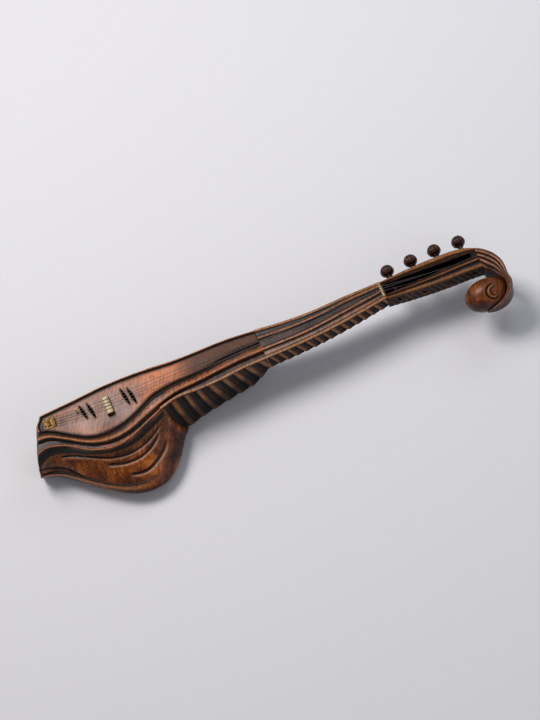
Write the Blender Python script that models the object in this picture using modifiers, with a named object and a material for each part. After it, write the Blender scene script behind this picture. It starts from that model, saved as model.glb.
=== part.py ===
"""Carved long-necked sitar, lying face up on the flat back of its bowl.

+X runs along the neck towards the head, +Y is the straight edge's side, +Z is out of the face.
The origin lies on the flat back, under the bridge.
"""
import math

import bmesh
import bpy
import numpy as np
from mathutils import Vector


def mm(*points):
    """Points given in millimetres, as metres."""
    return [(x / 1000, y / 1000) for x, y in points]


# Names of the two collections: the sitar's pieces, and hidden cutting shapes.
COLLECTION = "sitar"
CUTTERS = "cutters"

# Driving dimensions, in metres.
GAP = 0.0003             # glue line or clearance between two pieces that touch
FACE = 0.120             # height of the face above the flat back
BOARD_THICKNESS = 0.003  # soundboard
BINDING_WIDTH = 0.0087   # edge strips beside the soundboard
LEDGE_DROP = 0.0075      # how far the bindings' ledge lies below the face
BOWL_WALL = 0.015
HEEL_END = 0.388         # where the heel stops and the neck starts
NECK_LENGTH = 0.290      # from the heel's end to the nut
NECK_DEPTH = 0.0535
STRIP = 0.005            # thickness of the carved side strips
BINDING_REACH = 0.0075   # from the lower binding's crest to its outer side
RIM_LAND = 0.010         # width of the bowl's rim under the soundboard
RAIL_WIDTH = 0.007
RAIL_HEIGHT = 0.0035
NUT_LENGTH = 0.006       # along the strings
PEGBOX_LENGTH = 0.227
PEG_RADIUS = 0.0045
PEG_CLEARANCE = 0.0003
PEG_FIRST = 0.034        # first peg, from the nut
PEG_PITCH = 0.057
PEG_DROP = 0.027         # peg axis below the face
PEG_STAND = 0.011        # shaft showing between cheek and knob
KNOB_RADIUS = 0.016
KNOB_LENGTH = 0.030
SLOT_DEPTH = 0.044
STRING_RADIUS = 0.0005
STRING_COUNT = 4
BRIDGE_X = 0.025
BRIDGE_HEIGHT = 0.0125
BRIDGE_PITCH = 0.008     # string spacing at the bridge
NUT_PITCH = 0.006
NUT_RISE = 0.0035        # nut's top above the face
BRACE_WIDTH = 0.010
BRACE_HEIGHT = 0.010
TENON = (0.062, 0.024, 0.030)
BEAD_RADIUS = 0.004
BEAD_BORE = 0.0009
BEAD_SHARE = 0.45        # where the bead rests between tailpiece and bridge

# The tail end is one slanting plane with a slight belly: X = TAIL_X + TAIL_SLANT*Y - TAIL_LEAN*depth.
TAIL_X = -0.152
TAIL_SLANT = 0.40
TAIL_LEAN = 0.188
TAIL_BELLY = 0.006
# The joint of bowl and heel slants too: X = JOINT_X + JOINT_LEAN*depth.
JOINT_X = 0.129
JOINT_LEAN = 0.30

# Plan curves of bowl and heel, from the tail to the heel's end.
UPPER_EDGE = mm((-190, 60), (-135, 64), (-43, 67), (28, 70), (104, 67), (192, 57), (334, 50), (388, 43))
BOARD_EDGE = mm((-160, 30), (-123, 23), (-94, 5), (-74, -10), (-45, -28), (-15, -38), (15, -39),
                (48, -33), (85, -19), (122, -2), (155, 4), (243, 6), (333, 14), (388, 12))
BEAD_LINE = mm((-160, 13), (-122, 8), (-90, -12), (-36, -46), (15, -57), (56, -51), (92, -38),
               (128, -26), (162, -17), (235, -13), (330, -8), (388, -9))
MOULDING_LINE = mm((-170, -20), (-139, -11), (-106, -19), (-43, -60), (5, -74), (45, -69), (85, -54),
                   (128, -37))
SHOULDER = mm((-178, -32), (-153, -27), (-129, -23), (-101, -32), (-46, -62), (3, -77), (49, -76),
              (85, -63), (122, -47), (150, -42))
LOWER_GIRTH = mm((-190, -36), (-158, -44), (-132, -59), (-98, -90), (-65, -119), (1, -163), (43, -173),
                 (88, -162), (123, -128), (152, -85), (166, -70))
UPPER_GIRTH = mm((-190, 62), (-150, 70), (-90, 84), (0, 96), (80, 97), (150, 86), (206, 77), (257, 68),
                 (330, 56), (388, 43))
HEEL_TOP = mm((125, -42), (172, -32), (227, -35), (284, -35), (336, -32), (388, -33))
HEEL_GIRTH = mm((125, -72), (154, -66), (206, -53), (257, -46), (330, -37), (388, -33))
HEEL_BASE = mm((330, 0), (352, 12), (372, 36), (388, 56))
HEEL_KEEL = mm((125, 12), (206, 9), (257, 12), (330, 16), (388, 6))

# Neck curves: share of the neck's length, and Y.
NECK_UPPER = [(0, 0.043), (0.15, 0.036), (0.42, 0.0285), (0.75, 0.028), (1, 0.026)]
NECK_LOWER = [(0, -0.033), (0.31, -0.034), (0.52, -0.032), (0.76, -0.026), (1, -0.018)]
MIDDLE_RAIL = [(0, 0.020), (0.43, 0.012), (0.72, 0.016), (1, 0.0165)]
LOWER_RAIL = [(0, -0.009), (0.38, -0.012), (0.70, -0.005), (1, 0.003)]

# Head curves: X from the nut, and Y.
HEAD_UPPER = mm((0, 26), (60, 28), (139, 27), (190, 22.5), (212, 16.5), (227, 9))
HEAD_LOWER = mm((0, -18), (56, -27), (140, -36), (192, -39), (227, -42))
SLOT_CENTRE = mm((0, 4), (216, -5))
SLOT_HALF_WIDTH = mm((0, 13), (216, 5))
SLOT_START = 0.009
SLOT_END = 0.214
BOSS_CENTRE = (0.208, -0.098)
BOSS_RADII = (0.049, 0.036, 0.038)
BOSS_DROP = 0.026
CROOK_OUTER = mm((244, -2.5), (261, -22), (271, -48))
CROOK_INNER = mm((227.3, -46), (230, -52), (239, -60))
CROOK_TURN = (20, -105)       # degrees round the boss, over which the crook wraps it
CROOK_WIDTH = (0.016, 0.0025)
CROOK_STEPS = 11
CROOK_SINK = 0.010            # how far the crook's top falls and its underside rises along it
CROOK_TIP = (0.55, 0.016, 0.010)   # share where the tip starts; how much more its top falls, its underside rises

# The four leaf-shaped slits: upper end and lower end, X and Y.
SLITS = (mm((-36, 47), (-28, 9)), mm((-18, 45), (-10, 4)), mm((63, 44), (71, -1)), mm((78, 39), (86, -5)))
SLIT_WIDTH = 0.0062
STRING_BRIDGE_Y = 0.016
STRING_NUT_Y = 0.008
STRING_PEGS = (0, 2, 3, 1)     # the peg that each string goes to, from the upper string down
TAILPIECE = ((-0.110, 0.037), (0.026, 0.024), 0.0015)   # centre, size in plan, thickness
TAIL_PITCH = 0.0058      # string spacing at the tailpiece
TAIL_SCREWS = (-0.004, 0.004)                           # Y of the screws from its centre
TAIL_SCREW_BORE = 0.0020

# Finishes: colour, roughness, metallic.
BODY_WOOD = ("carved_body_wood", (0.10, 0.035, 0.012), 0.45, 0.0)
BOARD_WOOD = ("soundboard_wood", (0.33, 0.17, 0.10), 0.45, 0.0)
CARVING_WOOD = ("carved_strip_wood", (0.14, 0.050, 0.016), 0.42, 0.0)
DARK_WOOD = ("dark_turned_wood", (0.035, 0.015, 0.008), 0.35, 0.0)
PLAIN_WOOD = ("plain_inner_wood", (0.40, 0.25, 0.13), 0.7, 0.0)
BONE = ("bone", (0.62, 0.52, 0.36), 0.4, 0.0)
BRASS = ("brass", (0.55, 0.37, 0.14), 0.35, 1.0)
STEEL = ("steel_wire", (0.45, 0.45, 0.45), 0.3, 1.0)

NUT_X = HEEL_END + NECK_LENGTH
PEGBOX_X = NUT_X + NUT_LENGTH + GAP
LEDGE = FACE - LEDGE_DROP
PEG_Z = FACE - PEG_DROP
UPPER_LAND = BINDING_WIDTH + GAP      # the ledge under the upper binding


def smooth(points, x):
    """Height at x of the smooth curve through points, and straight on past its ends."""
    xs = np.array([p[0] for p in points])
    ys = np.array([p[1] for p in points])
    slopes = np.gradient(ys, xs) if len(xs) > 2 else np.full(2, (ys[1] - ys[0]) / (xs[1] - xs[0]))
    inside = min(max(x, xs[0]), xs[-1])
    i = min(max(int(np.searchsorted(xs, inside)) - 1, 0), len(xs) - 2)
    span = xs[i + 1] - xs[i]
    t = (inside - xs[i]) / span
    value = ((1 + 2 * t) * (1 - t) ** 2 * ys[i] + t * (1 - t) ** 2 * span * slopes[i]
             + t * t * (3 - 2 * t) * ys[i + 1] + t * t * (t - 1) * span * slopes[i + 1])
    end_slope = slopes[0] if x < xs[0] else slopes[-1]
    return float(value + (x - inside) * end_slope)


def spread(start, end, count):
    """Evenly spaced values from start to end."""
    return [start + (end - start) * i / (count - 1) for i in range(count)]


# ---- plan curves ----------------------------------------------------------------------------

def neck_share(x):
    return (x - HEEL_END) / NECK_LENGTH


def upper_edge(x):
    """The straight edge of the face, from tail to nut."""
    return smooth(UPPER_EDGE, x) if x <= HEEL_END else smooth(NECK_UPPER, neck_share(x))


def lower_edge(x):
    """The lobed strip's top line along heel and neck."""
    return smooth(HEEL_TOP, x) if x <= HEEL_END else smooth(NECK_LOWER, neck_share(x))


def board_edge(x):
    return smooth(BOARD_EDGE, x)


def binding_outer(x):
    """Outer side of the lower binding."""
    return smooth(BEAD_LINE, x) - BINDING_REACH


def base_height(x):
    """Lowest point of heel and neck."""
    if x <= HEEL_BASE[0][0]:
        return 0.0
    neck_end = FACE - NECK_DEPTH
    if x <= HEEL_END:
        return max(0.0, smooth(HEEL_BASE, x))
    return HEEL_BASE[-1][1] + (neck_end - HEEL_BASE[-1][1]) * min(1.0, neck_share(x))


def side_y(x, share, upper):
    """Outer side of heel and neck, at a share of the depth below the face."""
    edge = upper_edge(x) if upper else lower_edge(x)
    girth = edge
    if x < HEEL_END:
        girth = smooth(UPPER_GIRTH if upper else HEEL_GIRTH, x)
    keel = smooth(HEEL_KEEL, min(x, HEEL_END))
    swell = math.sin(math.pi / 2 * min(1.0, share / 0.8))
    tuck = keel * max(0.0, (share - 0.8) / 0.2) ** 2
    return edge + (girth - edge) * swell + (-tuck if upper else tuck)


def tail_x(y, z):
    return TAIL_X + TAIL_SLANT * y - TAIL_LEAN * (FACE - z)


def joint_x(z):
    return JOINT_X + JOINT_LEAN * (FACE - z)


# ---- making objects ---------------------------------------------------------------------------

def clear_scene():
    for obj in list(bpy.data.objects):
        bpy.data.objects.remove(obj, do_unlink=True)


def new_collection(name, hidden=False):
    collection = bpy.data.collections.new(name)
    bpy.context.scene.collection.children.link(collection)
    collection.hide_render = hidden
    return collection


def material(finish):
    name, colour, roughness, metallic = finish
    found = bpy.data.materials.get(name)
    if found:
        return found
    made = bpy.data.materials.new(name)
    made.use_nodes = True
    shader = made.node_tree.nodes["Principled BSDF"]
    shader.inputs["Base Color"].default_value = (*colour, 1.0)
    shader.inputs["Roughness"].default_value = roughness
    shader.inputs["Metallic"].default_value = metallic
    return made


def place(obj, name, finish, smooth_angle=None):
    """Names an object, puts it in the sitar's collection and gives it its finish."""
    obj.name = name
    obj.data.name = name
    for collection in list(obj.users_collection):
        collection.objects.unlink(obj)
    bpy.data.collections[COLLECTION].objects.link(obj)
    obj.data.materials.clear()
    obj.data.materials.append(material(finish))
    if smooth_angle and obj.type == "MESH":
        obj.data.shade_smooth()
        obj.data.set_sharp_from_angle(angle=math.radians(smooth_angle))
    return obj


def loft_mesh(name, rings):
    """A closed skin over rings of equally many points, with its two ends capped."""
    mesh = bmesh.new()
    rows = [[mesh.verts.new(point) for point in ring] for ring in rings]
    count = len(rows[0])
    for first, second in zip(rows, rows[1:]):
        for j in range(count):
            k = (j + 1) % count
            mesh.faces.new((first[j], first[k], second[k], second[j]))
    mesh.faces.new(rows[0][::-1])
    mesh.faces.new(rows[-1])
    bmesh.ops.recalc_face_normals(mesh, faces=mesh.faces)
    data = bpy.data.meshes.new(name)
    mesh.to_mesh(data)
    mesh.free()
    return data


def loft(name, rings, finish, smooth_angle=40):
    obj = bpy.data.objects.new(name, loft_mesh(name, rings))
    bpy.context.scene.collection.objects.link(obj)
    return place(obj, name, finish, smooth_angle)


def box(name, low, high, finish, bevel=0.0):
    """A block between two corners."""
    centre = (Vector(low) + Vector(high)) / 2
    bpy.ops.mesh.primitive_cube_add(size=1, location=centre)
    obj = bpy.context.object
    obj.scale = Vector(high) - Vector(low)
    bpy.ops.object.transform_apply(location=False, rotation=False, scale=True)
    place(obj, name, finish)
    if bevel:
        edge = obj.modifiers.new("edges", "BEVEL")
        edge.width = bevel
        edge.segments = 1
    return obj


def cylinder(name, start, end, radius, sides, finish):
    start = Vector(start)
    axis = Vector(end) - start
    bpy.ops.mesh.primitive_cylinder_add(radius=radius, depth=axis.length, vertices=sides,
                                        location=start + axis / 2,
                                        rotation=axis.to_track_quat("Z", "Y").to_euler())
    return place(bpy.context.object, name, finish, 40)


def as_cutter(obj):
    """Turns an object into a hidden cutting shape."""
    bpy.data.collections[COLLECTION].objects.unlink(obj)
    bpy.data.collections[CUTTERS].objects.link(obj)
    obj.hide_render = True
    obj.display_type = "WIRE"
    return obj


def cut(target, cutter):
    hollow = target.modifiers.new(cutter.name, "BOOLEAN")
    hollow.operation = "DIFFERENCE"
    hollow.solver = "EXACT"
    hollow.object = cutter


def turned(name, profile, location, finish, steps=16):
    """A body turned about the Y axis: profile is (radius, Y) from its +Y end down to its -Y end."""
    mesh = bmesh.new()
    points = [mesh.verts.new((radius, 0, y)) for radius, y in profile]
    for first, second in zip(points, points[1:]):
        mesh.edges.new((first, second))
    data = bpy.data.meshes.new(name)
    mesh.to_mesh(data)
    mesh.free()
    obj = bpy.data.objects.new(name, data)
    bpy.context.scene.collection.objects.link(obj)
    obj.location = location
    obj.rotation_euler = (math.radians(-90), 0, 0)
    spin = obj.modifiers.new("turning", "SCREW")
    spin.axis = "Z"
    spin.steps = steps
    spin.render_steps = steps
    spin.use_merge_vertices = True
    spin.merge_threshold = 0.00005
    return place(obj, name, finish, 40)


def wire(name, points, radius, finish):
    curve = bpy.data.curves.new(name, "CURVE")
    curve.dimensions = "3D"
    curve.bevel_depth = radius
    curve.bevel_resolution = 2
    curve.use_fill_caps = True
    spline = curve.splines.new("POLY")
    spline.points.add(len(points) - 1)
    for point, place_at in zip(spline.points, points):
        point.co = (*place_at, 1)
    obj = bpy.data.objects.new(name, curve)
    bpy.context.scene.collection.objects.link(obj)
    return place(obj, name, finish)


def plate(name, outlines, bottom, top, finish):
    """A flat piece: the first outline is its edge and the others are holes."""
    curve = bpy.data.curves.new(name, "CURVE")
    curve.dimensions = "2D"
    curve.fill_mode = "BOTH"
    curve.extrude = (top - bottom) / 2
    for outline in outlines:
        spline = curve.splines.new("POLY")
        spline.use_cyclic_u = True
        spline.points.add(len(outline) - 1)
        for point, (x, y) in zip(spline.points, outline):
            point.co = (x, y, 0, 1)
    obj = bpy.data.objects.new(name, curve)
    bpy.context.scene.collection.objects.link(obj)
    obj.location.z = (top + bottom) / 2
    return place(obj, name, finish)


# ---- bowl -------------------------------------------------------------------------------------

STATION_PITCH = 0.013
STATIONS_FROM = -0.110      # even stations from here on; the slanting tail end is shared out before it
TAIL_STEPS = 4
END_STEPS = 3
TAIL_SHARES = (0.04, 0.25, 0.5, 0.75, 0.96)   # stations of the tail binding across the tail


def stations(curve, z, end, tail_inset=0.0):
    """X places along a plan curve, from the tail's plane to end."""
    start = STATIONS_FROM
    for _ in range(12):
        start = tail_x(curve(start), z)
    start += tail_inset
    tail = spread(start, STATIONS_FROM, TAIL_STEPS + 1)[:-1]
    count = int((end - STATIONS_FROM) / STATION_PITCH)
    even = [STATIONS_FROM + STATION_PITCH * i for i in range(count + 1)]
    if end - even[-1] < STATION_PITCH / 3:
        even.pop()
    return tail + even + [end]


def run(curve, z, end, tail_inset=0.0, offset=0.0):
    """Points along a plan curve at one height."""
    return [(x, curve(x) + offset, z) for x in stations(curve, z, end, tail_inset)]


def bowl_ring(lower, upper, z, tail_inset=0.0, joint_inset=0.0):
    """One closed ring of the bowl: near side, joint, far side, tail."""
    top = joint_x(LEDGE) - 0.012          # keeps the stations of all rings in step
    shift = joint_x(z) - joint_inset - top
    near = run(lower, z, top, tail_inset)
    far = run(upper, z, top, tail_inset)

    def settle(points, curve):
        last = points[-1][0]
        kept = points[:-3]
        tail_end = [kept[-1][0] + (last + shift - kept[-1][0]) * k / 3 for k in (1, 2, 3)]
        return kept + [(x, curve(x), z) for x in tail_end]

    near = settle(near, lower)
    far = settle(far, upper)

    def across(a, b, belly):
        mixed = []
        for k in range(1, END_STEPS + 1):
            t = k / (END_STEPS + 1)
            x = a[0] + (b[0] - a[0]) * t - belly * 4 * t * (1 - t)
            mixed.append((x, a[1] + (b[1] - a[1]) * t, z))
        return mixed

    return near + across(near[-1], far[-1], 0) + far[::-1] + across(far[0], near[0], TAIL_BELLY)


SHOULDER_DROP = 0.028      # shoulder below the face, where the carved side starts
GIRTH_HEIGHT = 0.030       # widest level above the back
BACK_TUCK = 0.028
SIDE_LEVELS = (0.25, 0.5, 0.645, 0.86, 1.0)   # shares of the way from shoulder to girth
LIP_LEVELS = (0.645, 0.86)
LIP_RISE = 0.0052                             # how far the lip's crest stands off the bowl's side
LIP_STATIONS = 14                             # even stations that the lip runs for
LIP_FADE = (0.052, 0.8)                       # length of the lip's tapering end, and the share of rise it loses


def side_height(share):
    shoulder = FACE - SHOULDER_DROP
    return shoulder + (GIRTH_HEIGHT - shoulder) * share


def lower_side(share, inset=0.0):
    """The bowl's near side at a share of the way from shoulder to girth."""
    swell = 1 - (1 - share) ** 1.5
    return lambda x: (smooth(SHOULDER, x) - 0.002) * (1 - swell) + smooth(LOWER_GIRTH, x) * swell + inset


def upper_side(share, inset=0.0):
    swell = math.sin(math.pi / 2 * share)
    return lambda x: upper_edge(x) * (1 - swell) + smooth(UPPER_GIRTH, x) * swell - inset


def make_bowl():
    wall = BOWL_WALL
    rim = FACE - BOARD_THICKNESS - GAP
    land = RIM_LAND
    upper_drop = (FACE - rim) / FACE
    tail_in = BINDING_WIDTH + GAP
    moulding_ledge = FACE - 0.0155

    def board_line(x):
        return board_edge(x) + 2 * GAP

    def upper_land(x):
        return upper_edge(x) - UPPER_LAND

    rings = [
        bowl_ring(lower_side(1, BACK_TUCK), upper_side(1, BACK_TUCK * 0.7), wall, wall + 0.004, wall + 0.010),
        bowl_ring(lower_side(1, wall), upper_side(1, wall), side_height(0.86), wall, wall + 0.004),
        bowl_ring(lower_side(0.5, wall), upper_side(0.75, wall), side_height(0.4), wall, wall),
        bowl_ring(lower_side(0.1, wall), upper_side(0.35, wall), side_height(0.02), wall, wall),
        bowl_ring(lambda x: board_edge(x) + land, lambda x: upper_land(x) - land,
                  side_height(0) + 0.010, tail_in + land, wall),
        bowl_ring(lambda x: board_edge(x) + land, lambda x: upper_land(x) - land, rim, tail_in + land, wall),
        bowl_ring(board_line, upper_land, rim - 0.0001, tail_in),
        bowl_ring(board_line, upper_land, LEDGE, tail_in),
        bowl_ring(binding_outer, upper_side(upper_drop), LEDGE - 0.001),
        bowl_ring(binding_outer, upper_side(0.12), moulding_ledge),
        bowl_ring(lower_side(0), upper_side(0.25), side_height(0)),
    ]
    far_levels = (0.45, 0.65, 0.8, 0.95, 1.0)
    for share, far in zip(SIDE_LEVELS, far_levels):
        rings.append(bowl_ring(lower_side(share), upper_side(far), side_height(share)))
    rings.append(bowl_ring(lower_side(1, BACK_TUCK * 0.3), upper_side(1, BACK_TUCK * 0.25), 0.011))
    rings.append(bowl_ring(lower_side(1, BACK_TUCK), upper_side(1, BACK_TUCK * 0.7), 0.0))
    loft("bowl", rings, BODY_WOOD)


def leaf(ends):
    """A slit's outline: pointed at both ends and fullest in the middle."""
    start, end = Vector(ends[0]), Vector(ends[1])
    side = (end - start).orthogonal().normalized()
    shares = spread(0, 1, 7)
    bulge = [SLIT_WIDTH / 2 * math.sin(math.pi * t) for t in shares]
    right = [start.lerp(end, t) + side * b for t, b in zip(shares, bulge)]
    left = [start.lerp(end, t) - side * b for t, b in zip(shares, bulge)][1:-1]
    return [tuple(p) for p in right + left[::-1]]


def make_soundboard():
    top = FACE
    bottom = FACE - BOARD_THICKNESS
    inset = BINDING_WIDTH + GAP
    near = run(board_edge, FACE, HEEL_END - GAP, inset)
    far = run(lambda x: upper_edge(x) - UPPER_LAND, FACE, HEEL_END - GAP, inset)
    outline = [(x, y) for x, y, _ in near + far[::-1]]
    holes = [leaf(slit) for slit in SLITS] + screw_bores()
    plate("soundboard", [outline] + holes, bottom, top, BOARD_WOOD)


def strip(name, lines, finish):
    """A moulding: lines run along it, one for each corner of its section."""
    loft(name, list(zip(*lines)), finish)


def make_bindings():
    end = HEEL_END - GAP
    base = LEDGE + GAP

    def lower(offset, z, curve=board_edge):
        return run(curve, z, end, 0.0, offset)

    def bead(x):
        return smooth(BEAD_LINE, x)

    strip("lower_binding", [
        lower(-GAP, base), lower(-GAP, FACE - 0.001), lower(-0.004, FACE - 0.0045),
        lower(0.0035, FACE - 0.003, bead), lower(0, FACE, bead), lower(-0.0035, FACE - 0.003, bead),
        lower(GAP, FACE - 0.0065, binding_outer), lower(GAP, base, binding_outer)], CARVING_WOOD)
    inner = -BINDING_WIDTH

    def upper(offset, z):
        return run(upper_edge, z, end, 0.0, offset)

    strip("upper_binding", [
        upper(inner, base), upper(inner, FACE - 0.002), upper(-0.0055, FACE - 0.004),
        upper(-0.0045, FACE - 0.001), upper(-0.002, FACE), upper(-0.0002, FACE - 0.003),
        upper(-0.0002, base)], CARVING_WOOD)
    lines = []
    for offset, z in ((0, base), (0, FACE - 0.003), (0.002, FACE), (0.0045, FACE - 0.001),
                      (0.0055, FACE - 0.004), (BINDING_WIDTH, FACE - 0.002), (BINDING_WIDTH, base)):
        a = Vector(run(board_edge, z, end, offset)[0])
        b = Vector(run(lambda x: upper_edge(x) - UPPER_LAND, z, end, offset)[0])
        belly = Vector((-TAIL_BELLY * 4, 0, 0))
        lines.append([a.lerp(b, t) + belly * t * (1 - t) for t in TAIL_SHARES])
    strip("tail_binding", lines, CARVING_WOOD)


def make_moulding_and_lip():
    end = joint_x(FACE - 0.016) - 0.004

    def line(curve, offset, z):
        return run(curve, z, end, 0.0, offset)

    def moulding(x):
        return smooth(MOULDING_LINE, x)

    inner = binding_outer
    outer = lower_side(0)
    strip("rim_moulding", [
        line(inner, -GAP, FACE - 0.0145), line(inner, -GAP, FACE - 0.0090),
        line(moulding, 0.0035, FACE - 0.0095), line(moulding, 0, FACE - 0.0070),
        line(moulding, -0.004, FACE - 0.0115), line(outer, 0.0008, FACE - 0.022),
        line(outer, 0.0008, FACE - 0.0262)], CARVING_WOOD)
    high, low = LIP_LEVELS
    lip_end = STATIONS_FROM + LIP_STATIONS * STATION_PITCH
    seat = -5 * GAP

    def raised(points, rise):
        """Points moved out from the seat, less and less along the tapering end."""
        length, loss = LIP_FADE
        return [(x, y + seat - rise * (1 - loss * min(1.0, max(0.0, 1 - (lip_end - x) / length))), z)
                for x, y, z in points]

    def lip(share, rise):
        return raised(run(lower_side(share), side_height(share), lip_end), rise)

    def middle(rise):
        upper, lower = (run(lower_side(share), side_height(share), lip_end) for share in (high, low))
        return raised([[(a + b) / 2 for a, b in zip(*pair)] for pair in zip(upper, lower)], rise)

    strip("bowl_lip", [lip(high, 0), lip(high, 0.002), middle(LIP_RISE + seat), lip(low, 0.002), lip(low, 0)],
          CARVING_WOOD)


def make_inner_wood():
    """Braces under the soundboard and the block that the tailpiece is screwed into."""
    top = FACE - BOARD_THICKNESS - GAP
    for name, x in (("brace_rear", -0.050), ("brace_front", 0.098)):
        low = max(board_edge(x - BRACE_WIDTH), board_edge(x + BRACE_WIDTH)) + 0.012
        high = upper_edge(x) - UPPER_LAND - 0.012
        box(name, (x - BRACE_WIDTH / 2, low, top - BRACE_HEIGHT), (x + BRACE_WIDTH / 2, high, top),
            PLAIN_WOOD, 0.001)
    x, length = TAILPIECE[0][0], TAILPIECE[1][0]
    back, front = x - length / 2 + 0.009, x + length / 2 + 0.010
    low = board_edge(back) + RIM_LAND + 0.002
    high = upper_edge(back) - UPPER_LAND - RIM_LAND - 0.001
    box("tail_block", (back, low, top - 0.016), (front, high, top), PLAIN_WOOD, 0.001)


# ---- heel and neck ------------------------------------------------------------------------------

CORE_SHARES = (0.18, 0.32, 0.48, 0.64, 0.8, 0.93)
STRIP_INSET = STRIP + GAP


def core_section(x_of, board=True):
    """Section of heel or neck under its strips, at places that may slant with the height."""
    section = []

    def put(y_at, z):
        x = x_of(z)
        section.append((x, y_at(x), z))

    rim = FACE - BOARD_THICKNESS - GAP
    if board:
        put(lambda x: upper_edge(x) - UPPER_LAND, rim)
        put(board_edge, rim)
        put(board_edge, LEDGE)
    else:
        put(lambda x: upper_edge(x) - STRIP_INSET - 0.002, LEDGE)
        put(lambda x: (upper_edge(x) + lower_edge(x)) / 2, LEDGE)
        put(lambda x: lower_edge(x) + STRIP_INSET + 0.002, LEDGE)
    base = base_height(x_of(0.0))
    brow = (LEDGE_DROP + 0.001) / (FACE - base)
    put(lambda x: side_y(x, brow, False) + STRIP_INSET, LEDGE - 0.001)
    for share in CORE_SHARES:
        put(lambda x, s=share: side_y(x, s, False) + STRIP_INSET, FACE - (FACE - base) * share)
    put(lambda x: side_y(x, 1.0, False) + STRIP_INSET, base)
    put(lambda x: side_y(x, 1.0, True) - STRIP_INSET, base)
    for share in CORE_SHARES[::-1]:
        put(lambda x, s=share: side_y(x, s, True) - STRIP_INSET, FACE - (FACE - base) * share)
    put(lambda x: side_y(x, brow, True) - STRIP_INSET, LEDGE - 0.001)
    if board:
        put(lambda x: upper_edge(x) - UPPER_LAND, LEDGE)
    return section


def heel_places(count):
    """Stations of the heel: the first follows the slanting joint, the last is square."""
    end = HEEL_END - GAP / 2
    return [lambda z, t=t: (joint_x(z) + GAP) * (1 - t) + end * t for t in spread(0, 1, count)]


def neck_places(count):
    return [lambda z, x=x: x for x in spread(HEEL_END + GAP / 2, NUT_X + NUT_LENGTH, count)]


def side_strip(name, places, upper, top_drop=0.0):
    """A carved strip down one side of heel or neck, from top_drop below the face."""
    rings = []
    sign = 1 if upper else -1
    for x_of in places:
        base = base_height(x_of(0.0))
        levels = (top_drop / (FACE - base),) + CORE_SHARES
        outer, inner = [], []
        for share in levels:
            z = FACE - (FACE - base) * share
            x = x_of(z)
            y = side_y(x, share, upper)
            outer.append((x, y, z))
            inner.append((x, y - sign * STRIP, z))
        rings.append(outer + inner[::-1])
    loft(name, rings, CARVING_WOOD)


HEEL_STATIONS = 17
NECK_STATIONS = 13


def make_heel_and_neck():
    heel = loft("heel", [core_section(x_of) for x_of in heel_places(HEEL_STATIONS)], BODY_WOOD)
    neck = loft("neck", [core_section(x_of, False) for x_of in neck_places(NECK_STATIONS)], BODY_WOOD)
    side_strip("heel_carving_front", heel_places(HEEL_STATIONS), False)
    side_strip("heel_carving_back", heel_places(HEEL_STATIONS), True, LEDGE_DROP + 2 * GAP)
    side_strip("neck_carving_front", neck_places(NECK_STATIONS), False)
    side_strip("neck_carving_back", neck_places(NECK_STATIONS), True)

    length, width, height = TENON
    y = (upper_edge(HEEL_END) + lower_edge(HEEL_END)) / 2
    z = (LEDGE + HEEL_BASE[-1][1]) / 2
    low = Vector((HEEL_END - length / 2, y - width / 2, z - height / 2))
    high = Vector((HEEL_END + length / 2, y + width / 2, z + height / 2))
    box("neck_tenon", low, high, PLAIN_WOOD, 0.001)
    room = Vector((GAP, GAP, GAP))
    pocket = as_cutter(box("tenon_pocket", low - room, high + room, PLAIN_WOOD))
    cut(heel, pocket)
    cut(neck, pocket)

    wall = 0.010
    hollow_rings = []
    for x in spread(HEEL_END + length / 2 + 0.012, NUT_X - 0.014, 6):
        low_y = lower_edge(x) + STRIP_INSET + wall
        high_y = upper_edge(x) - STRIP_INSET - wall
        bottom = base_height(x) + wall
        hollow_rings.append([(x, low_y, LEDGE + wall), (x, low_y, bottom),
                             (x, high_y, bottom), (x, high_y, LEDGE + wall)])
    cut(neck, as_cutter(loft("neck_hollow", hollow_rings, PLAIN_WOOD, None)))


def make_fingerboard():
    bottom = LEDGE + GAP
    top = FACE - 0.003
    start, end = HEEL_END + GAP / 2, NUT_X - GAP
    xs = spread(start, end, 14)
    inset = STRIP + 2 * GAP
    near = [(x, lower_edge(x) + inset) for x in xs]
    far = [(x, upper_edge(x) - inset) for x in xs]
    plate("fingerboard", [near + far[::-1]], bottom, top, BODY_WOOD)
    for name, curve in (("middle_rail", MIDDLE_RAIL), ("lower_rail", LOWER_RAIL)):
        rings = []
        for x in xs:
            y = smooth(curve, neck_share(x))
            half = RAIL_WIDTH / 2
            section = ((-half, GAP), (half, GAP), (half, RAIL_HEIGHT * 0.4), (half * 0.45, RAIL_HEIGHT),
                       (-half * 0.45, RAIL_HEIGHT), (-half, RAIL_HEIGHT * 0.4))
            rings.append([(x, y + dy, top + dz) for dy, dz in section])
        loft(name, rings, CARVING_WOOD)


# ---- head -----------------------------------------------------------------------------------------

def head_section(x, bottom):
    """Rounded section of the pegbox, x from the nut."""
    up, low = smooth(HEAD_UPPER, x), smooth(HEAD_LOWER, x)
    soft = 0.003
    top = FACE
    return [(NUT_X + x, y, z) for y, z in (
        (up - soft, top), (low + soft, top), (low, top - soft), (low, bottom + 2 * soft),
        (low + 2 * soft, bottom), (up - 2 * soft, bottom), (up, bottom + 2 * soft), (up, top - soft))]


def peg_x(index):
    return NUT_X + PEG_FIRST + PEG_PITCH * index


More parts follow.
